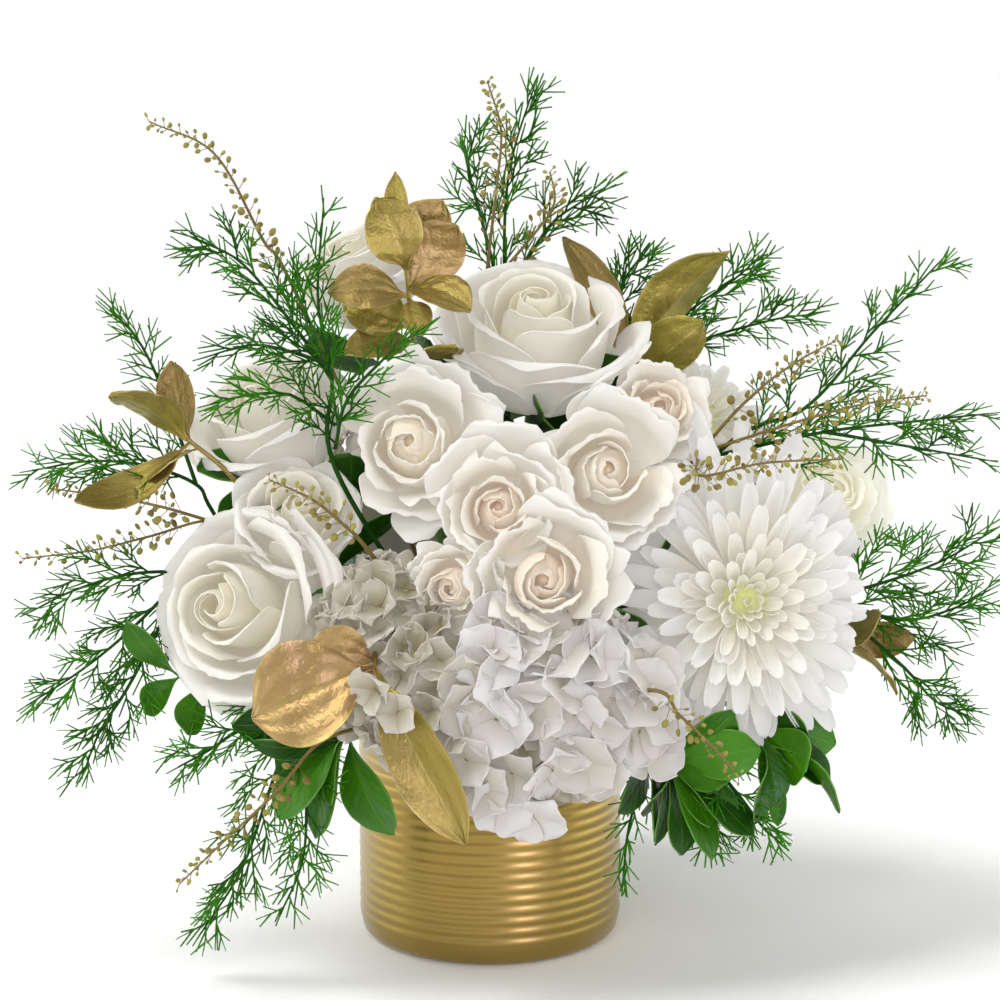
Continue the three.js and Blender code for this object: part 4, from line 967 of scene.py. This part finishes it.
# The rise of a petal from its foot over belly and throat to its lip and rolled edge, as shares of
# the head's radius and depth: one row for the innermost petals and the last for the outermost.
ROSE_RISE = [
    [(0.02, 0.12), (0.12, 0.25), (0.18, 0.44), (0.19, 0.64), (0.16, 0.84), (0.11, 0.98), (0.07, 1.03)],
    [(0.05, 0.06), (0.30, 0.14), (0.46, 0.34), (0.50, 0.58), (0.48, 0.82), (0.49, 1.00), (0.56, 1.03)],
    [(0.06, 0.03), (0.46, 0.09), (0.68, 0.28), (0.74, 0.52), (0.76, 0.76), (0.83, 0.90), (0.92, 0.87)],
    [(0.07, 0.00), (0.46, 0.05), (0.76, 0.18), (0.87, 0.38), (0.95, 0.56), (1.06, 0.66), (1.13, 0.57)],
]
SPRAY_RISE = [
    [(0.03, 0.10), (0.19, 0.22), (0.29, 0.40), (0.31, 0.60), (0.26, 0.78), (0.16, 0.91), (0.07, 0.94)],
    [(0.05, 0.06), (0.29, 0.14), (0.44, 0.32), (0.48, 0.56), (0.45, 0.79), (0.44, 0.96), (0.50, 1.02)],
    [(0.06, 0.03), (0.40, 0.08), (0.64, 0.24), (0.73, 0.46), (0.78, 0.68), (0.87, 0.83), (0.95, 0.84)],
    [(0.07, 0.00), (0.46, 0.04), (0.78, 0.14), (0.92, 0.32), (1.02, 0.48), (1.10, 0.58), (1.15, 0.54)],
]
# How far out each petal of a head stands, from 0 in the heart to 1 at the edge.
ROSE_PETALS = [
    0, 0.02, 0.05, 0.08, 0.12, 0.16, 0.21, 0.26, 0.32, 0.39, 0.46, 0.53, 0.60, 0.67, 0.74, 0.81, 0.87,
    0.92, 0.96, 1.0,
]
SPRAY_PETALS = [
    0, 0.02, 0.05, 0.09, 0.14, 0.19, 0.25, 0.32, 0.40, 0.49, 0.58, 0.67, 0.75, 0.82, 0.88, 0.94, 1.0,
]
# The same for the sepals of a calyx, which lie under the outer petals.
CALYX_RISE = [(0.05, -0.09), (0.20, -0.08), (0.34, -0.06), (0.46, -0.03), (0.56, -0.02)]


def petal(blank, rise, azimuth, half, outline, droop, peak=0.0, skew=0.0, ruffle=0.0, waves=3.0, phase=0.0,
          curl=0.0):
    """A petal bent round the axis of its head, ruffled towards its lip, with its sides rolled back.

    A peak above 0 leaves a point in the middle of the lip, and one below 0 a notch."""
    across, along = blank.points[:, 0], blank.points[:, 1]
    share = along * (1 - droop * np.abs(across) ** 2.4 + peak * np.exp(-((across / 0.2) ** 2)) - max(peak, 0))
    radius, height = smooth_through(rise, share).T
    width = half * smooth_through(outline, along)
    around = np.maximum(radius, 0.3 * half)
    angle = across * width / around
    wave = ruffle * along**3 * (0.3 + 0.7 * np.abs(across))
    crimp = 0.25 * ruffle * along**7 * np.sin(3.1 * waves * math.pi * across + 3 * phase)
    offset = skew * across + wave * np.sin(waves * math.pi * across + phase) + crimp
    offset += curl * np.abs(across) ** 3 * along**2
    out = radius - around + (around + offset) * np.cos(angle)
    side = (around + offset) * np.sin(angle)
    height = height + 0.5 * wave * np.cos(1.7 * waves * across + 2 * phase)
    cos, sin = math.cos(azimuth), math.sin(azimuth)
    return np.column_stack([out * cos - side * sin, out * sin + side * cos, height])


def petalled_head(name, spec, rises, plan, blank, material, slot, ruffle, peak, stray=0.25):
    """Petals in a golden-angle spiral, wrapped tight in the heart and laid open outside.

    stray is how far each petal may stand off its place in the spiral."""
    dice = random.Random(name)
    radius, depth = spec["radius"], spec["depth"]
    axes, calyx = bloom_place(**spec)
    drift = np.array(spec.get("drift", (0, 0, 0)), float)
    head = Cluster()
    for k, share in enumerate(plan):
        mixed = min(1.0, max(0.0, share + dice.uniform(-0.04, 0.04)))
        rise = smooth_through(np.array(rises).reshape(len(rises), -1), mixed).reshape(-1, 2)
        rise = rise * [radius, depth]
        rise[1:, 0] *= dice.uniform(0.90, 1.08)
        rise[3:, 1] += depth * dice.uniform(-0.08, 0.06)
        rise[5:, 0] += radius * dice.uniform(-0.04, 0.04)
        shape = petal(
            blank, rise, azimuth=k * GOLDEN_TURN + dice.uniform(-stray, stray),
            half=radius * (0.38 + 0.46 * share) * dice.uniform(0.92, 1.08), outline=PETAL_OUTLINE,
            droop=dice.uniform(0.14, 0.24), peak=peak * dice.uniform(0.4, 1.2),
            skew=radius * 0.07 * (1 - 0.6 * share), ruffle=radius * ruffle * (0.3 + share),
            waves=dice.uniform(1.0, 2.4), phase=dice.uniform(0, 6.3), curl=radius * 0.13 * share,
        )
        head.add(blank, shape @ axes.T + calyx + (1 - share) ** 1.3 * drift, share)
    for way, reach, breadth, lift in spec.get("wings", []):
        aside = np.array(way, float) @ axes
        rise = np.array(rises[-1]) * [radius * reach, depth]
        rise[:, 1] += depth * lift * np.linspace(0, 1, len(rise)) ** 1.5
        shape = petal(
            blank, rise, azimuth=math.atan2(aside[1], aside[0]), half=radius * breadth,
            outline=PETAL_OUTLINE, droop=0.2, peak=0.06, ruffle=radius * ruffle,
            waves=dice.uniform(1.0, 2.0), phase=dice.uniform(0, 6.3), curl=radius * 0.13,
        )
        head.add(blank, shape @ axes.T + calyx, 0.95)
    heart = BALL.points * [0.12 * radius, 0.12 * radius, 0.3 * depth] + [0, 0, 0.5 * depth]
    head.add(BALL, heart @ axes.T + calyx + drift, 0.15, flat=0)
    return head.piece(f"{name}_petals", material, slot, name, thickness=0.5)


def run_of(slope, step):
    """How far a line has come at each of its points, from 0, by its slope there."""
    return np.concatenate([[0], np.cumsum(slope[1:] * step)])


def mum(name, spec):
    """Scooped rays in a golden-angle spiral, upright in the heart and laid back at the edge.

    The outer rays that point up or down are longer, and most of all those that point up."""
    dice = random.Random(name)
    radius, depth, count = spec["radius"], spec["depth"], spec["rays"]
    axes, calyx = bloom_place(**spec)
    across, along = RAY_SHEET.points[:, 0], RAY_SHEET.points[:, 1]
    width = smooth_through(RAY_OUTLINE, along)
    fine = np.linspace(0, 1, 33)
    head = Cluster()
    for i in range(count):
        share = (i + 0.5) / count
        round_ = i * GOLDEN_TURN + dice.uniform(-0.12, 0.12)
        upward = axes[2, 0] * math.cos(round_) + axes[2, 1] * math.sin(round_)
        tilt = math.radians(6 + 94 * share**0.7 + dice.uniform(-7, 7))
        stretch = 1 + share * (0.34 * upward**2 + 0.2 * max(upward, 0) ** 2)
        reach = radius * (0.34 + 0.76 * share**0.62) * dice.uniform(0.92, 1.06) * stretch
        start = radius * 0.14
        bend = math.radians(26 - 40 * (1 - share) ** 1.5)
        angle = tilt + bend * (fine - 0.6)
        step = (reach - start) / (len(fine) - 1)
        out_run = start * math.sin(tilt) + run_of(np.sin(angle), step)
        up_run = 0.3 * depth + start * math.cos(tilt) + run_of(np.cos(angle), step)
        half = radius * (0.036 + 0.066 * share**0.6) * dice.uniform(0.88, 1.14)
        reached = along * (1 - 0.12 * np.abs(across) ** 2.4 - 0.025 * np.exp(-((across / 0.16) ** 2)))
        out = np.interp(reached, fine, out_run)
        up = np.interp(reached, fine, up_run)
        lean = np.interp(reached, fine, angle)
        scoop = half * (0.66 - 0.26 * share) * across**2 * (1 - 0.3 * along)
        scoop += half * 0.07 * np.cos(3 * math.pi * across) * (1 - along)
        side = half * width * across * (1 - 0.12 * across**2)
        scoop += side * math.tan(dice.uniform(-0.3, 0.3))
        out, up = out - scoop * np.cos(lean), up + scoop * np.sin(lean)
        cos, sin = math.cos(round_), math.sin(round_)
        shape = np.column_stack([out * cos - side * sin, out * sin + side * cos, up])
        head.add(RAY_SHEET, shape @ axes.T + calyx, share**0.5)
    button = pod_blank(24, 14, 1.0)
    core = button.points * [0.34 * radius, 0.34 * radius, 0.42 * depth] + [0, 0, 0.38 * depth]
    head.piece(f"{name}_rays", MUM_PETAL, "mum_petal", name, thickness=0.4)
    seat = Cluster()
    seat.add(button, core @ axes.T + calyx, 0.0, flat=0)
    seat.piece(f"{name}_button", MUM_PETAL, "mum_petal", name)


def floret_blank(seed):
    """Four cupped, scalloped sepals, one unit in radius, left open in the middle for a bead, and their flat
    coordinates.
    """
    dice = random.Random(seed)
    across, along = SEPAL_SHEET.points[:, 0], SEPAL_SHEET.points[:, 1]
    points = []
    loops = []
    counts = []
    flat = []
    for k in range(4):
        length = dice.uniform(0.84, 1.02)
        scallop = 0.012 * np.cos(dice.uniform(5, 8) * math.pi * across + dice.uniform(0, 6))
        reached = along * (1 - 0.16 * across**2 + scallop) * length
        side = 0.6 * length * smooth_through(SEPAL_OUTLINE, along) * across
        lift = 0.02 + 0.05 * (k % 2) + dice.uniform(0.25, 0.5) * reached**1.4
        lift = lift - dice.uniform(0.15, 0.4) * reached**3.5
        lift = lift + dice.uniform(0.05, 0.2) * across**2 * along + dice.uniform(-0.14, 0.14) * side
        lift = lift + 0.05 * np.sin(dice.uniform(3, 5) * across + dice.uniform(0, 6)) * along**2
        angle = k * math.pi / 2 + dice.uniform(-0.14, 0.14)
        out = 0.04 + 0.96 * reached
        x = out * math.cos(angle) - side * math.sin(angle)
        y = out * math.sin(angle) + side * math.cos(angle)
        points.append(np.column_stack([x, y, lift]))
        loops.append(SEPAL_SHEET.loops + k * len(x))
        counts.append(SEPAL_SHEET.counts)
        flat.append(SEPAL_SHEET.points[:, :2])
    blank = Shape(np.vstack(points), np.concatenate(loops), np.concatenate(counts))
    return blank, np.vstack(flat)


def floret_places(axes, heart, radii, count, reach, dice):
    """Places spread evenly over the front of a flattened ball, the way out at each, and its level."""
    share = 1 - math.cos(math.radians(reach))
    for i in range(count):
        z = 1 - share * (i + 0.5) / count
        ring = math.sqrt(max(0.0, 1 - z * z))
        out = np.array([ring * math.cos(i * GOLDEN_TURN), ring * math.sin(i * GOLDEN_TURN), z])
        level = dice.uniform(0.86, 1.0)
        yield out * radii * level @ axes.T + heart, unit(out / radii @ axes.T), level


def laid_on_vase(points, clearance):
    """Points that would lie inside the vase, moved out until they clear its wall."""
    low = points[:, 2] < VASE["height"] + 2
    reach = np.maximum(np.hypot(points[:, 0], points[:, 1]), 1e-6)
    wall = VASE["radius"] + clearance
    points[:, :2] *= np.where(low & (reach < wall), wall / reach, 1.0)[:, None]
    return points


def hydrangea(name, spec):
    """Florets packed over a flattened ball, some of them set back, round a green core."""
    dice = random.Random(name)
    axes, heart = bloom_place(**spec)
    stretch = np.array(spec["stretch"], float)
    blanks = [floret_blank(seed) for seed in range(7)]
    head = Cluster()
    beads = Cluster()
    places = list(floret_places(axes, heart, spec["radius"] * stretch, spec["florets"], spec["reach"], dice))
    if "lobe" in spec:
        lobe = spec["lobe"]
        lobe_axes, lobe_heart = bloom_place(**lobe)
        radii = np.array(lobe["radii"])
        places += floret_places(lobe_axes, lobe_heart, radii, lobe["florets"], lobe["reach"], dice)
    towards_camera = unit(np.array([-0.35, -0.9, 0.1]))
    places += [(np.array(at, float), towards_camera, 1.0) for at in spec.get("more", [])]
    for i, (place, out, level) in enumerate(places):
        if place[2] < VASE["height"] + 2 and math.hypot(place[0], place[1]) < VASE["radius"] + 5:
            continue
        # The front head comes to a blunt point in front of the vase.
        if place[1] < 0 and place[2] < 77 + 0.6 * abs(place[0] - 9):
            continue
        # The right of the front head is in full white bloom, and its left is younger and greener.
        young = min(1.0, max(0.0, (spec["young"] - place[0]) / 14 + 0.5))
        deep = dice.random() > 0.74 + 0.26 * young
        place = place - (7 * out if deep else 0)
        # The lowest florets turn their faces to the front.
        low = min(1.0, max(0.0, (104 - place[2]) / 18)) if place[1] < 0 else 0.0
        faces = unit(out + any_way(dice, 0.45) + [0, -0.7 * low, 0.3 * low])
        own = frame_along(faces, any_way(dice))
        size = spec["radius"] * (0.16 if deep else 0.24 - 0.08 * young) * dice.uniform(0.9, 1.1)
        blank, flat = blanks[i % len(blanks)]
        shape = blank.points * [size, size, size * dice.uniform(0.7, 1.5 + 0.6 * young)]
        # Painted shade: on the young side some florets are darker at random, and florets sunk lower in the
        # ball are darker still, for the shade between them. The green of the young ones is their own colour.
        tone = dice.uniform(0.65 - 0.3 * young, 1.0) * (1.0 - 0.6 * young)
        tone *= 0.75 + 0.25 * (level - 0.86) / 0.14
        clearance = 1.3 + 0.35 * (i % 5)
        # Florets that are set back take a low tone, the deep colour, as painted shade in the gaps.
        head.add(blank, laid_on_vase(shape @ own.T + place, clearance), 0.15 if deep else tone, flat)
        bead = POD.points * [0.9, 1.4, 0.7]
        beads.add(POD, bead @ own.T + place + 0.6 * faces, 0.2, flat=0)
    head.piece(f"{name}_florets", FLORET, "hydrangea_floret", name, thickness=0.4)
    ball = pod_blank(32, 20, 1.0)
    core = ball.points * [1, 1, 1 / 1.15] * stretch * spec["radius"] * 0.8 @ axes.T + heart
    beads.add(ball, laid_on_vase(core, 0.8), 0.25, flat=0)
    return beads.piece(f"{name}_core", FLORET, "hydrangea_floret", name)


# ---------------------------------------------------------------- stems


def sepals(cluster, spec):
    """The green cup of a bloom and its five pointed sepals, laid along the outer petals."""
    axes, calyx = bloom_place(**spec)
    radius, depth = spec["radius"], spec["depth"]
    rise = np.array(CALYX_RISE) * [radius, depth]
    for k in range(5):
        shape = petal(
            GREEN_SHEET, rise, azimuth=0.4 + k * 2 * math.pi / 5, half=0.15 * radius, outline=CALYX_OUTLINE,
            droop=0.0, skew=0.0, curl=0.02 * radius,
        )
        cluster.add(GREEN_SHEET, shape @ axes.T + calyx, 0.4)


def flower_stem(name, runs, radius, blooms):
    """Green stalks from the foam to each bloom, with a swelling under it, its calyx and its leaves."""
    stalk = Cluster()
    for route in runs:
        fine = smooth_route(route, 4)
        taper = np.linspace(radius, 0.75 * radius, len(fine))
        limb(stalk, fine, taper, 10, 0.3)
    for spec in blooms:
        axes, calyx = bloom_place(**spec)
        down = -axes[:, 2]
        swell = [(0.3, 0.06), (0.2, 0.12), (0.12, 0.2), (0.05, 0.24), (-0.01, 0.2)]
        steps = [calyx + down * spec["radius"] * far for far, _ in swell]
        limb(stalk, steps, [spec["radius"] * wide for _, wide in swell], 12, 0.5)
    stalk.piece(f"{name}_green", STEM, "flower_stem", name)
    cups = Cluster()
    for spec in blooms:
        if spec["depth"] > 24 and "rays" not in spec:
            sepals(cups, spec)
    if cups.size:
        cups.piece(f"{name}_sepals", STEM, "flower_stem", name, thickness=0.5)
    dice = random.Random(name)
    blades = Cluster()
    for base, tip, width in STEM_LEAVES.get(name, []):
        start = nearest_on(runs, np.array(base, float))
        points = leaf(start, tip, width, dice.uniform(-95, -40), 4, 0.2, 0, "green", dice)
        blades.add(LEAF_SHEET, points, dice.uniform(0.0, 0.35))
    if blades.size:
        blades.piece(f"{name}_leaves", GREEN_LEAF, "flower_stem", name, thickness=0.6)


# ---------------------------------------------------------------- leaves

# The outline of a leaf, its half breadth as a share of its width, and how crisp its veins stand.
LEAF_LOOKS = {
    "gold": ([0.05, 0.16, 0.56, 0.84, 0.98, 1.04, 1.0, 0.86, 0.58, 0.05], 0.58, 1),
    "green": ([0.05, 0.12, 0.36, 0.62, 0.84, 0.99, 1.04, 0.97, 0.74, 0.10], 0.54, 0.4),
}
LIFTS = [0, -10, 10, -20, 20, -32, 32]  # how far a leaf may be raised off its line, in degrees


def leaf_axes(start, tip, roll, lift):
    """Which way a leaf reaches, its breadth and its face, raised by lift and rolled by roll."""
    reach = np.array(tip, float) - start
    face = start + 0.5 * reach - np.array([0, 0, 130.0])
    breadth = unit(np.cross(reach, face))
    reach = turned_about(reach, breadth, math.radians(lift))
    face = unit(np.cross(breadth, reach))
    along = unit(reach)
    turn = math.radians(roll)
    return reach, turned_about(breadth, along, turn), turned_about(face, along, turn)


def leaf(start, tip, width, roll, bow, fold, lift, look, dice):
    """A leaf folded along its midrib and bowed, with a pointed or a rounded tip and a wavy edge."""
    reach, breadth, face = leaf_axes(start, tip, roll, lift)
    across, along = LEAF_SHEET.points[:, 0], LEAF_SHEET.points[:, 1]
    outline, share, crispness = LEAF_LOOKS[look]
    half = share * width * smooth_through(outline, along)
    rolling = dice.uniform(5, 9) * along + dice.uniform(0, 6) + 2 * across
    wave = 0.045 * width * np.abs(across) ** 2 * np.sin(rolling)
    rumple = 9 * across + 14 * along + dice.uniform(0, 6)
    crinkle = 0.02 * width * np.sin(rumple) * np.cos(11 * along - 5 * across)
    groove = -0.02 * width * np.exp(-((across / 0.09) ** 2)) * (1 - along)
    veins = 0.006 * width * np.cos(2 * math.pi * (7 * along - 2 * np.abs(across))) * np.abs(across)
    lifted = fold * half * np.sqrt(across**2 + 0.01) + wave + groove + (crinkle + veins) * crispness
    tip_turn = 0.05 * np.linalg.norm(reach) * np.maximum(along - 0.7, 0) ** 2 * dice.uniform(-8, 10)
    height = lifted + bow * np.sin(math.pi * along) + tip_turn
    aside = half * across * (1 - 0.1 * fold)
    return start + along[:, None] * reach + aside[:, None] * breadth + height[:, None] * face


def leafy_stem(name, spec):
    """A stalk and its leaves, each leaf raised as its node has it."""
    dice = random.Random(name)
    runs = runs_of(spec["route"], [])
    known = node_points(name)
    stalk = Cluster()
    for route in runs:
        fine = smooth_route(route, 5)
        limb(stalk, fine, np.linspace(1.5, 1.0, len(fine)), 8, 0.35)
    blades = Cluster()
    for base, tip, width, roll, bow, fold in spec["leaves"]:
        start = nearest_on(runs, np.array(base, float))

        def miss(lift):
            reach, _, _ = leaf_axes(start, tip, roll, lift)
            return np.linalg.norm(known - (start + reach), axis=1).min()

        lift = min(LIFTS, key=miss)
        lift = lift if miss(lift) < 6 else 0
        points = leaf(start, tip, width, roll, bow, fold, lift, spec["look"], dice)
        # The copper tone of the listed leaves is partly a painted highlight.
        blades.add(LEAF_SHEET, points, COPPER_AND_HIGHLIGHT.get((name, tip), dice.uniform(0.0, 0.8)))
    gold = spec["look"] == "gold"
    material, slot = (GOLD_LEAF, "gold_leaf") if gold else (GREEN_LEAF, "green_leaf")
    stalk.piece(f"{name}_stalk", material if gold else STEM, slot, name)
    return blades.piece(f"{name}_leaves", material, slot, name, thickness=0.6)


# ---------------------------------------------------------------- fern and seeds


def spike(cluster, start, way, length, thickness, tone):
    axes = frame_along(way, np.array([0.3, 0.9, 0.4]))
    points = NEEDLE.points * [thickness, thickness, length] @ axes.T + start
    cluster.add(NEEDLE, points, tone, NEEDLE.points[:, 1:] * 0.5)


def fern_twig(cluster, start, way, flat_normal, length, tone, dice):
    """A side twig that curves a little, forks if it is long, and bears needles left and right."""
    steps = 5
    turn = dice.uniform(-0.35, 0.35)
    bent = [unit(turned_about(way, flat_normal, turn * k / steps)) for k in range(steps)]
    route = [start]
    for direction in bent:
        route.append(route[-1] + direction * length / steps)
    route = np.array(route)
    limb(cluster, route, np.linspace(0.5, 0.32, len(route)), 4, tone)
    count = max(3, int(length / 3.6))
    for i in range(count):
        share = 0.14 + 0.86 * (i + dice.uniform(0, 0.7)) / count
        point = smooth_through(route, share)
        along = bent[min(int(share * steps), steps - 1)]
        side = 1 if i % 2 else -1
        direction = turned_about(along, flat_normal, side * math.radians(dice.uniform(20, 42)))
        direction = unit(direction + flat_normal * dice.uniform(-0.2, 0.2))
        reach = dice.uniform(6.0, 13.0) * (1.1 - 0.4 * share)
        spike(cluster, point, direction, reach, 0.45, tone + dice.uniform(0, 0.3) + 0.2 * share)
    spike(cluster, route[-1], bent[-1], 6.0, 0.32, tone + 0.35)
    if length > 13:
        first = dice.choice((-1, 1))
        for place, way_round in ((1, first), (3, -first)):
            fork = turned_about(bent[place], flat_normal, way_round * dice.uniform(0.45, 0.7))
            fern_twig(cluster, route[place], fork, flat_normal, 0.45 * length, tone, dice)


def fern(name, spec):
    """Fronds of fine forked twigs, longest near the foot of each frond."""
    dice = random.Random(name)
    fronds = spec["fronds"]
    growth = Cluster()
    for number, route in enumerate(runs_of(spec["route"], [points for _, points in fronds])):
        fine = smooth_route(route, 6)
        start_radius = 1.3 if number == 0 else 0.95
        limb(growth, fine, np.linspace(start_radius, 0.4, len(fine)), 6, 0.15)
    for reach, points in fronds:
        route = np.array(points, float)
        length = np.linalg.norm(np.diff(route, axis=0), axis=1).sum()
        count = int(length / spec.get("gap", TWIG_GAP))
        shade = dice.uniform(0.0, 0.3)
        back = route[:, 1].mean() > 50
        view = np.array([0.0, 1.0 if back else -1.0, 0.25])
        for k in range(count):
            share = 0.10 + 0.9 * (k + dice.uniform(0, 0.6)) / count
            point = smooth_through(route, share)
            along = unit(smooth_through(route, min(1, share + 0.03)) - smooth_through(route, share - 0.03))
            side = unit(np.cross(along, view)) * (1 if k % 2 else -1)
            side = turned_about(side, along, math.radians(dice.uniform(-65, 65)))
            normal = unit(np.cross(along, side))
            lean = math.radians(dice.uniform(22, 52))
            way = along * math.cos(lean) + side * math.sin(lean)
            twig = max(6.0, reach * (1.2 - 0.85 * share) * dice.uniform(0.6, 1.15))
            fern_twig(growth, point, way, normal, twig, shade + dice.uniform(0, 0.4) + 0.1 * share, dice)
        spike(growth, route[-1], route[-1] - route[-2], 6.0, 0.4, 0.7)
    return growth.piece(f"{name}_twigs", FERN, "fern", name)


def seed_spray(name, spec):
    """Thin stalks with round flat pods on fine pedicels, small and green towards the tip."""
    dice = random.Random(name)
    spray = Cluster()
    for number, route in enumerate(runs_of(spec["route"], spec["sprays"])):
        fine = smooth_route(route, 5)
        limb(spray, fine, np.linspace(1.1 if number == 0 else 0.8, 0.35, len(fine)), 6, 0.15)
    for points in spec["sprays"]:
        route = np.array(points, float)
        length = np.linalg.norm(np.diff(route, axis=0), axis=1).sum()
        count = int(length / 1.9)
        for k in range(count):
            share = 0.16 + 0.84 * k / (count - 1)
            point = smooth_through(route, share)
            along = unit(smooth_through(route, min(1, share + 0.03)) - smooth_through(route, share - 0.03))
            level = unit(np.cross(along, [0.0, 0.0, 1.0]))
            side = turned_about(level, along, k * GOLDEN_TURN + dice.uniform(-0.4, 0.4))
            way = unit(side + along * dice.uniform(0.3, 0.9))
            stem = (7.5 - 5.0 * share) * dice.uniform(0.7, 1.2)
            spike(spray, point, way, stem, 0.2, 0.2)
            size = (1.8 - 0.8 * share) * dice.uniform(0.6, 1.2)
            own = frame_along(way, any_way(dice))
            tone = dice.uniform(0.05, 0.7) + 0.3 * share
            spray.add(POD, POD.points * size @ own.T + point + way * (stem + 0.7 * size), tone, flat=0)
    return spray.piece(f"{name}_pods", SEED, "seed", name)


# ---------------------------------------------------------------- the whole arrangement


def arrange():
    vase()
    foam()
    for name, spec in ROSES.items():
        petalled_head(name, spec, ROSE_RISE, ROSE_PETALS, ROSE_SHEET, ROSE_PETAL, "rose_petal", 0.03, 0.05)
        flower_stem(f"{name}_stem", runs_of([under_head(spec, 0.25)], []), 2.3, [spec])
    for name, spec in SPRAY_ROSES.items():
        blush = BLUSH[name]
        deep = (0.58, 0.46 - 0.09 * blush, 0.27 - 0.03 * blush)
        middle = (0.61, 0.58 - 0.05 * blush, 0.50 - 0.08 * blush)
        material = CREAM_PETAL if name == "spray_rose_7" else petal_finish(
            f"{name}_petal", deep, middle, (0.62, 0.605, 0.57 - 0.01 * blush),
        )
        petalled_head(
            name, spec, SPRAY_RISE, SPRAY_PETALS, SPRAY_SHEET, material, "spray_petal", 0.075, -0.06,
            stray=0.6,
        )
    for name, (hub, carried) in SPRAY_STEMS.items():
        specs = [SPRAY_ROSES[head] for head in carried]
        ends = [under_head(spec, 0.25) for spec in specs]
        runs = runs_of([hub], [[hub, end] for end in ends]) if hub else runs_of(ends, [])
        flower_stem(name, runs, 1.7, specs)
    for name, spec in MUMS.items():
        mum(name, spec)
        flower_stem(f"{name}_stem", runs_of([under_head(spec, 0.25)], []), 2.3, [spec])
    for name, spec in HYDRANGEAS.items():
        hydrangea(name, spec)
        foot = under_head(spec, 0.35)
        foot[2] = max(foot[2], 124)
        flower_stem(f"{name}_stem", runs_of([foot], []), 3.0, [])
    for name, spec in LEAFY.items():
        leafy_stem(name, spec)
    for name, spec in FERNS.items():
        fern(name, spec)
    for name, spec in SEEDS.items():
        seed_spray(name, spec)


# ---------------------------------------------------------------- floor, light and camera


ROOM_LIGHT = 0.40  # what the white room gives to the bouquet
WHITE_WALL = 1.05  # what the camera sees of it
# Each box is (name, azimuth, power, colour, whether it lights what isn't glossy too).
SIDE_BOXES = [
    ("left_box", -107, 5.5, (0.98, 1, 0.92), True),
    ("right_box", 89, 7.5, (0.98, 1, 0.9), True),
    ("right_sheen", 116, 4.5, (0.86, 1, 0.85), False),
    ("left_sheen", -104, 4, (0.72, 1, 0.9), False),
]


def floor():
    lay_down()
    bpy.ops.mesh.primitive_plane_add(size=60, location=(0, 0, -0.0004))
    ground = bpy.context.object
    ground.name = "floor"
    material, shader = finish("pale_floor", 0.6)
    shader.inputs["Base Color"].default_value = (0.95, 0.95, 0.95, 1)
    shader.inputs["Emission Color"].default_value = (1, 1, 1, 1)
    shader.inputs["Emission Strength"].default_value = 0.06
    ground.data.materials.append(material)


def soft_box(name, azimuth, distance, height, size, power, colour=(1, 1, 1), diffuse=True):
    """A softbox aimed at the bouquet. Azimuth 0 is where the camera stands, and 90 is on the right."""
    light = bpy.data.lights.new(name, "AREA")
    light.shape = "RECTANGLE"
    light.size, light.size_y = size
    light.energy = power
    light.color = colour
    lamp = bpy.data.objects.new(name, light)
    turn = math.radians(azimuth)
    lamp.location = (distance * math.sin(turn), -distance * math.cos(turn), height)
    lamp.rotation_euler = (Vector((0, 0, 0.15)) - lamp.location).to_track_quat("-Z", "Y").to_euler()
    lamp.visible_camera = False
    lamp.visible_diffuse = diffuse
    bpy.context.scene.collection.objects.link(lamp)


def far_light(name, way, power, spread, glossy=True):
    """A light that shines the same way everywhere, softened over spread degrees."""
    sun = bpy.data.lights.new(name, "SUN")
    sun.energy = power
    sun.angle = math.radians(spread)
    lamp = bpy.data.objects.new(name, sun)
    lamp.rotation_euler = Vector(way).to_track_quat("-Z", "Y").to_euler()
    lamp.visible_glossy = glossy
    bpy.context.scene.collection.objects.link(lamp)


def studio():
    """Even light from a white room, a soft sun high on the left that draws the shadow, and a fill.

    The boxes at the sides, the sheens and the strip are there for the metal of the vase."""
    world = bpy.data.worlds.new("studio")
    world.use_nodes = True
    nodes, links = world.node_tree.nodes, world.node_tree.links
    sky = nodes["Background"]
    sky.inputs["Color"].default_value = (1.0, 1.0, 1.0, 1)
    seen = nodes.new("ShaderNodeLightPath")
    strength = nodes.new("ShaderNodeMapRange")
    strength.inputs["To Min"].default_value = ROOM_LIGHT
    strength.inputs["To Max"].default_value = WHITE_WALL
    links.new(seen.outputs["Is Camera Ray"], strength.inputs["Value"])
    links.new(strength.outputs["Result"], sky.inputs["Strength"])
    bpy.context.scene.world = world
    far_light("key", (0.55, 0.18, -1.0), 1.95, 26)
    far_light("fill", (0.12, 1.0, -0.36), 1.35, 45, glossy=False)
    for name, azimuth, power, colour, diffuse in SIDE_BOXES:
        soft_box(name, azimuth, 1.3, 0.30, (1.3, 0.8), power, colour, diffuse)
    soft_box("pale_strip", 29, 1.25, 0.22, (0.3, 0.9), 12, (0.62, 0.56, 1.0), diffuse=False)


def camera():
    distance, elevation = 1.2, math.radians(10)
    target = Vector((0.0046, 0, 0.1999))
    lens = bpy.data.cameras.new("camera")
    lens.sensor_width = 36
    lens.lens = 95.9
    eye = bpy.data.objects.new("camera", lens)
    eye.location = target + distance * Vector((0, -math.cos(elevation), math.sin(elevation)))
    eye.rotation_euler = (target - eye.location).to_track_quat("-Z", "Y").to_euler()
    bpy.context.scene.collection.objects.link(eye)
    bpy.context.scene.camera = eye


for leftover in [thing for thing in bpy.data.objects if thing.name in ("Cube", "Light", "Camera")]:
    bpy.data.objects.remove(leftover)
camera()
arrange()
floor()
studio()
bpy.context.scene.view_settings.view_transform = "Standard"

bpy.context.view_layer.update()
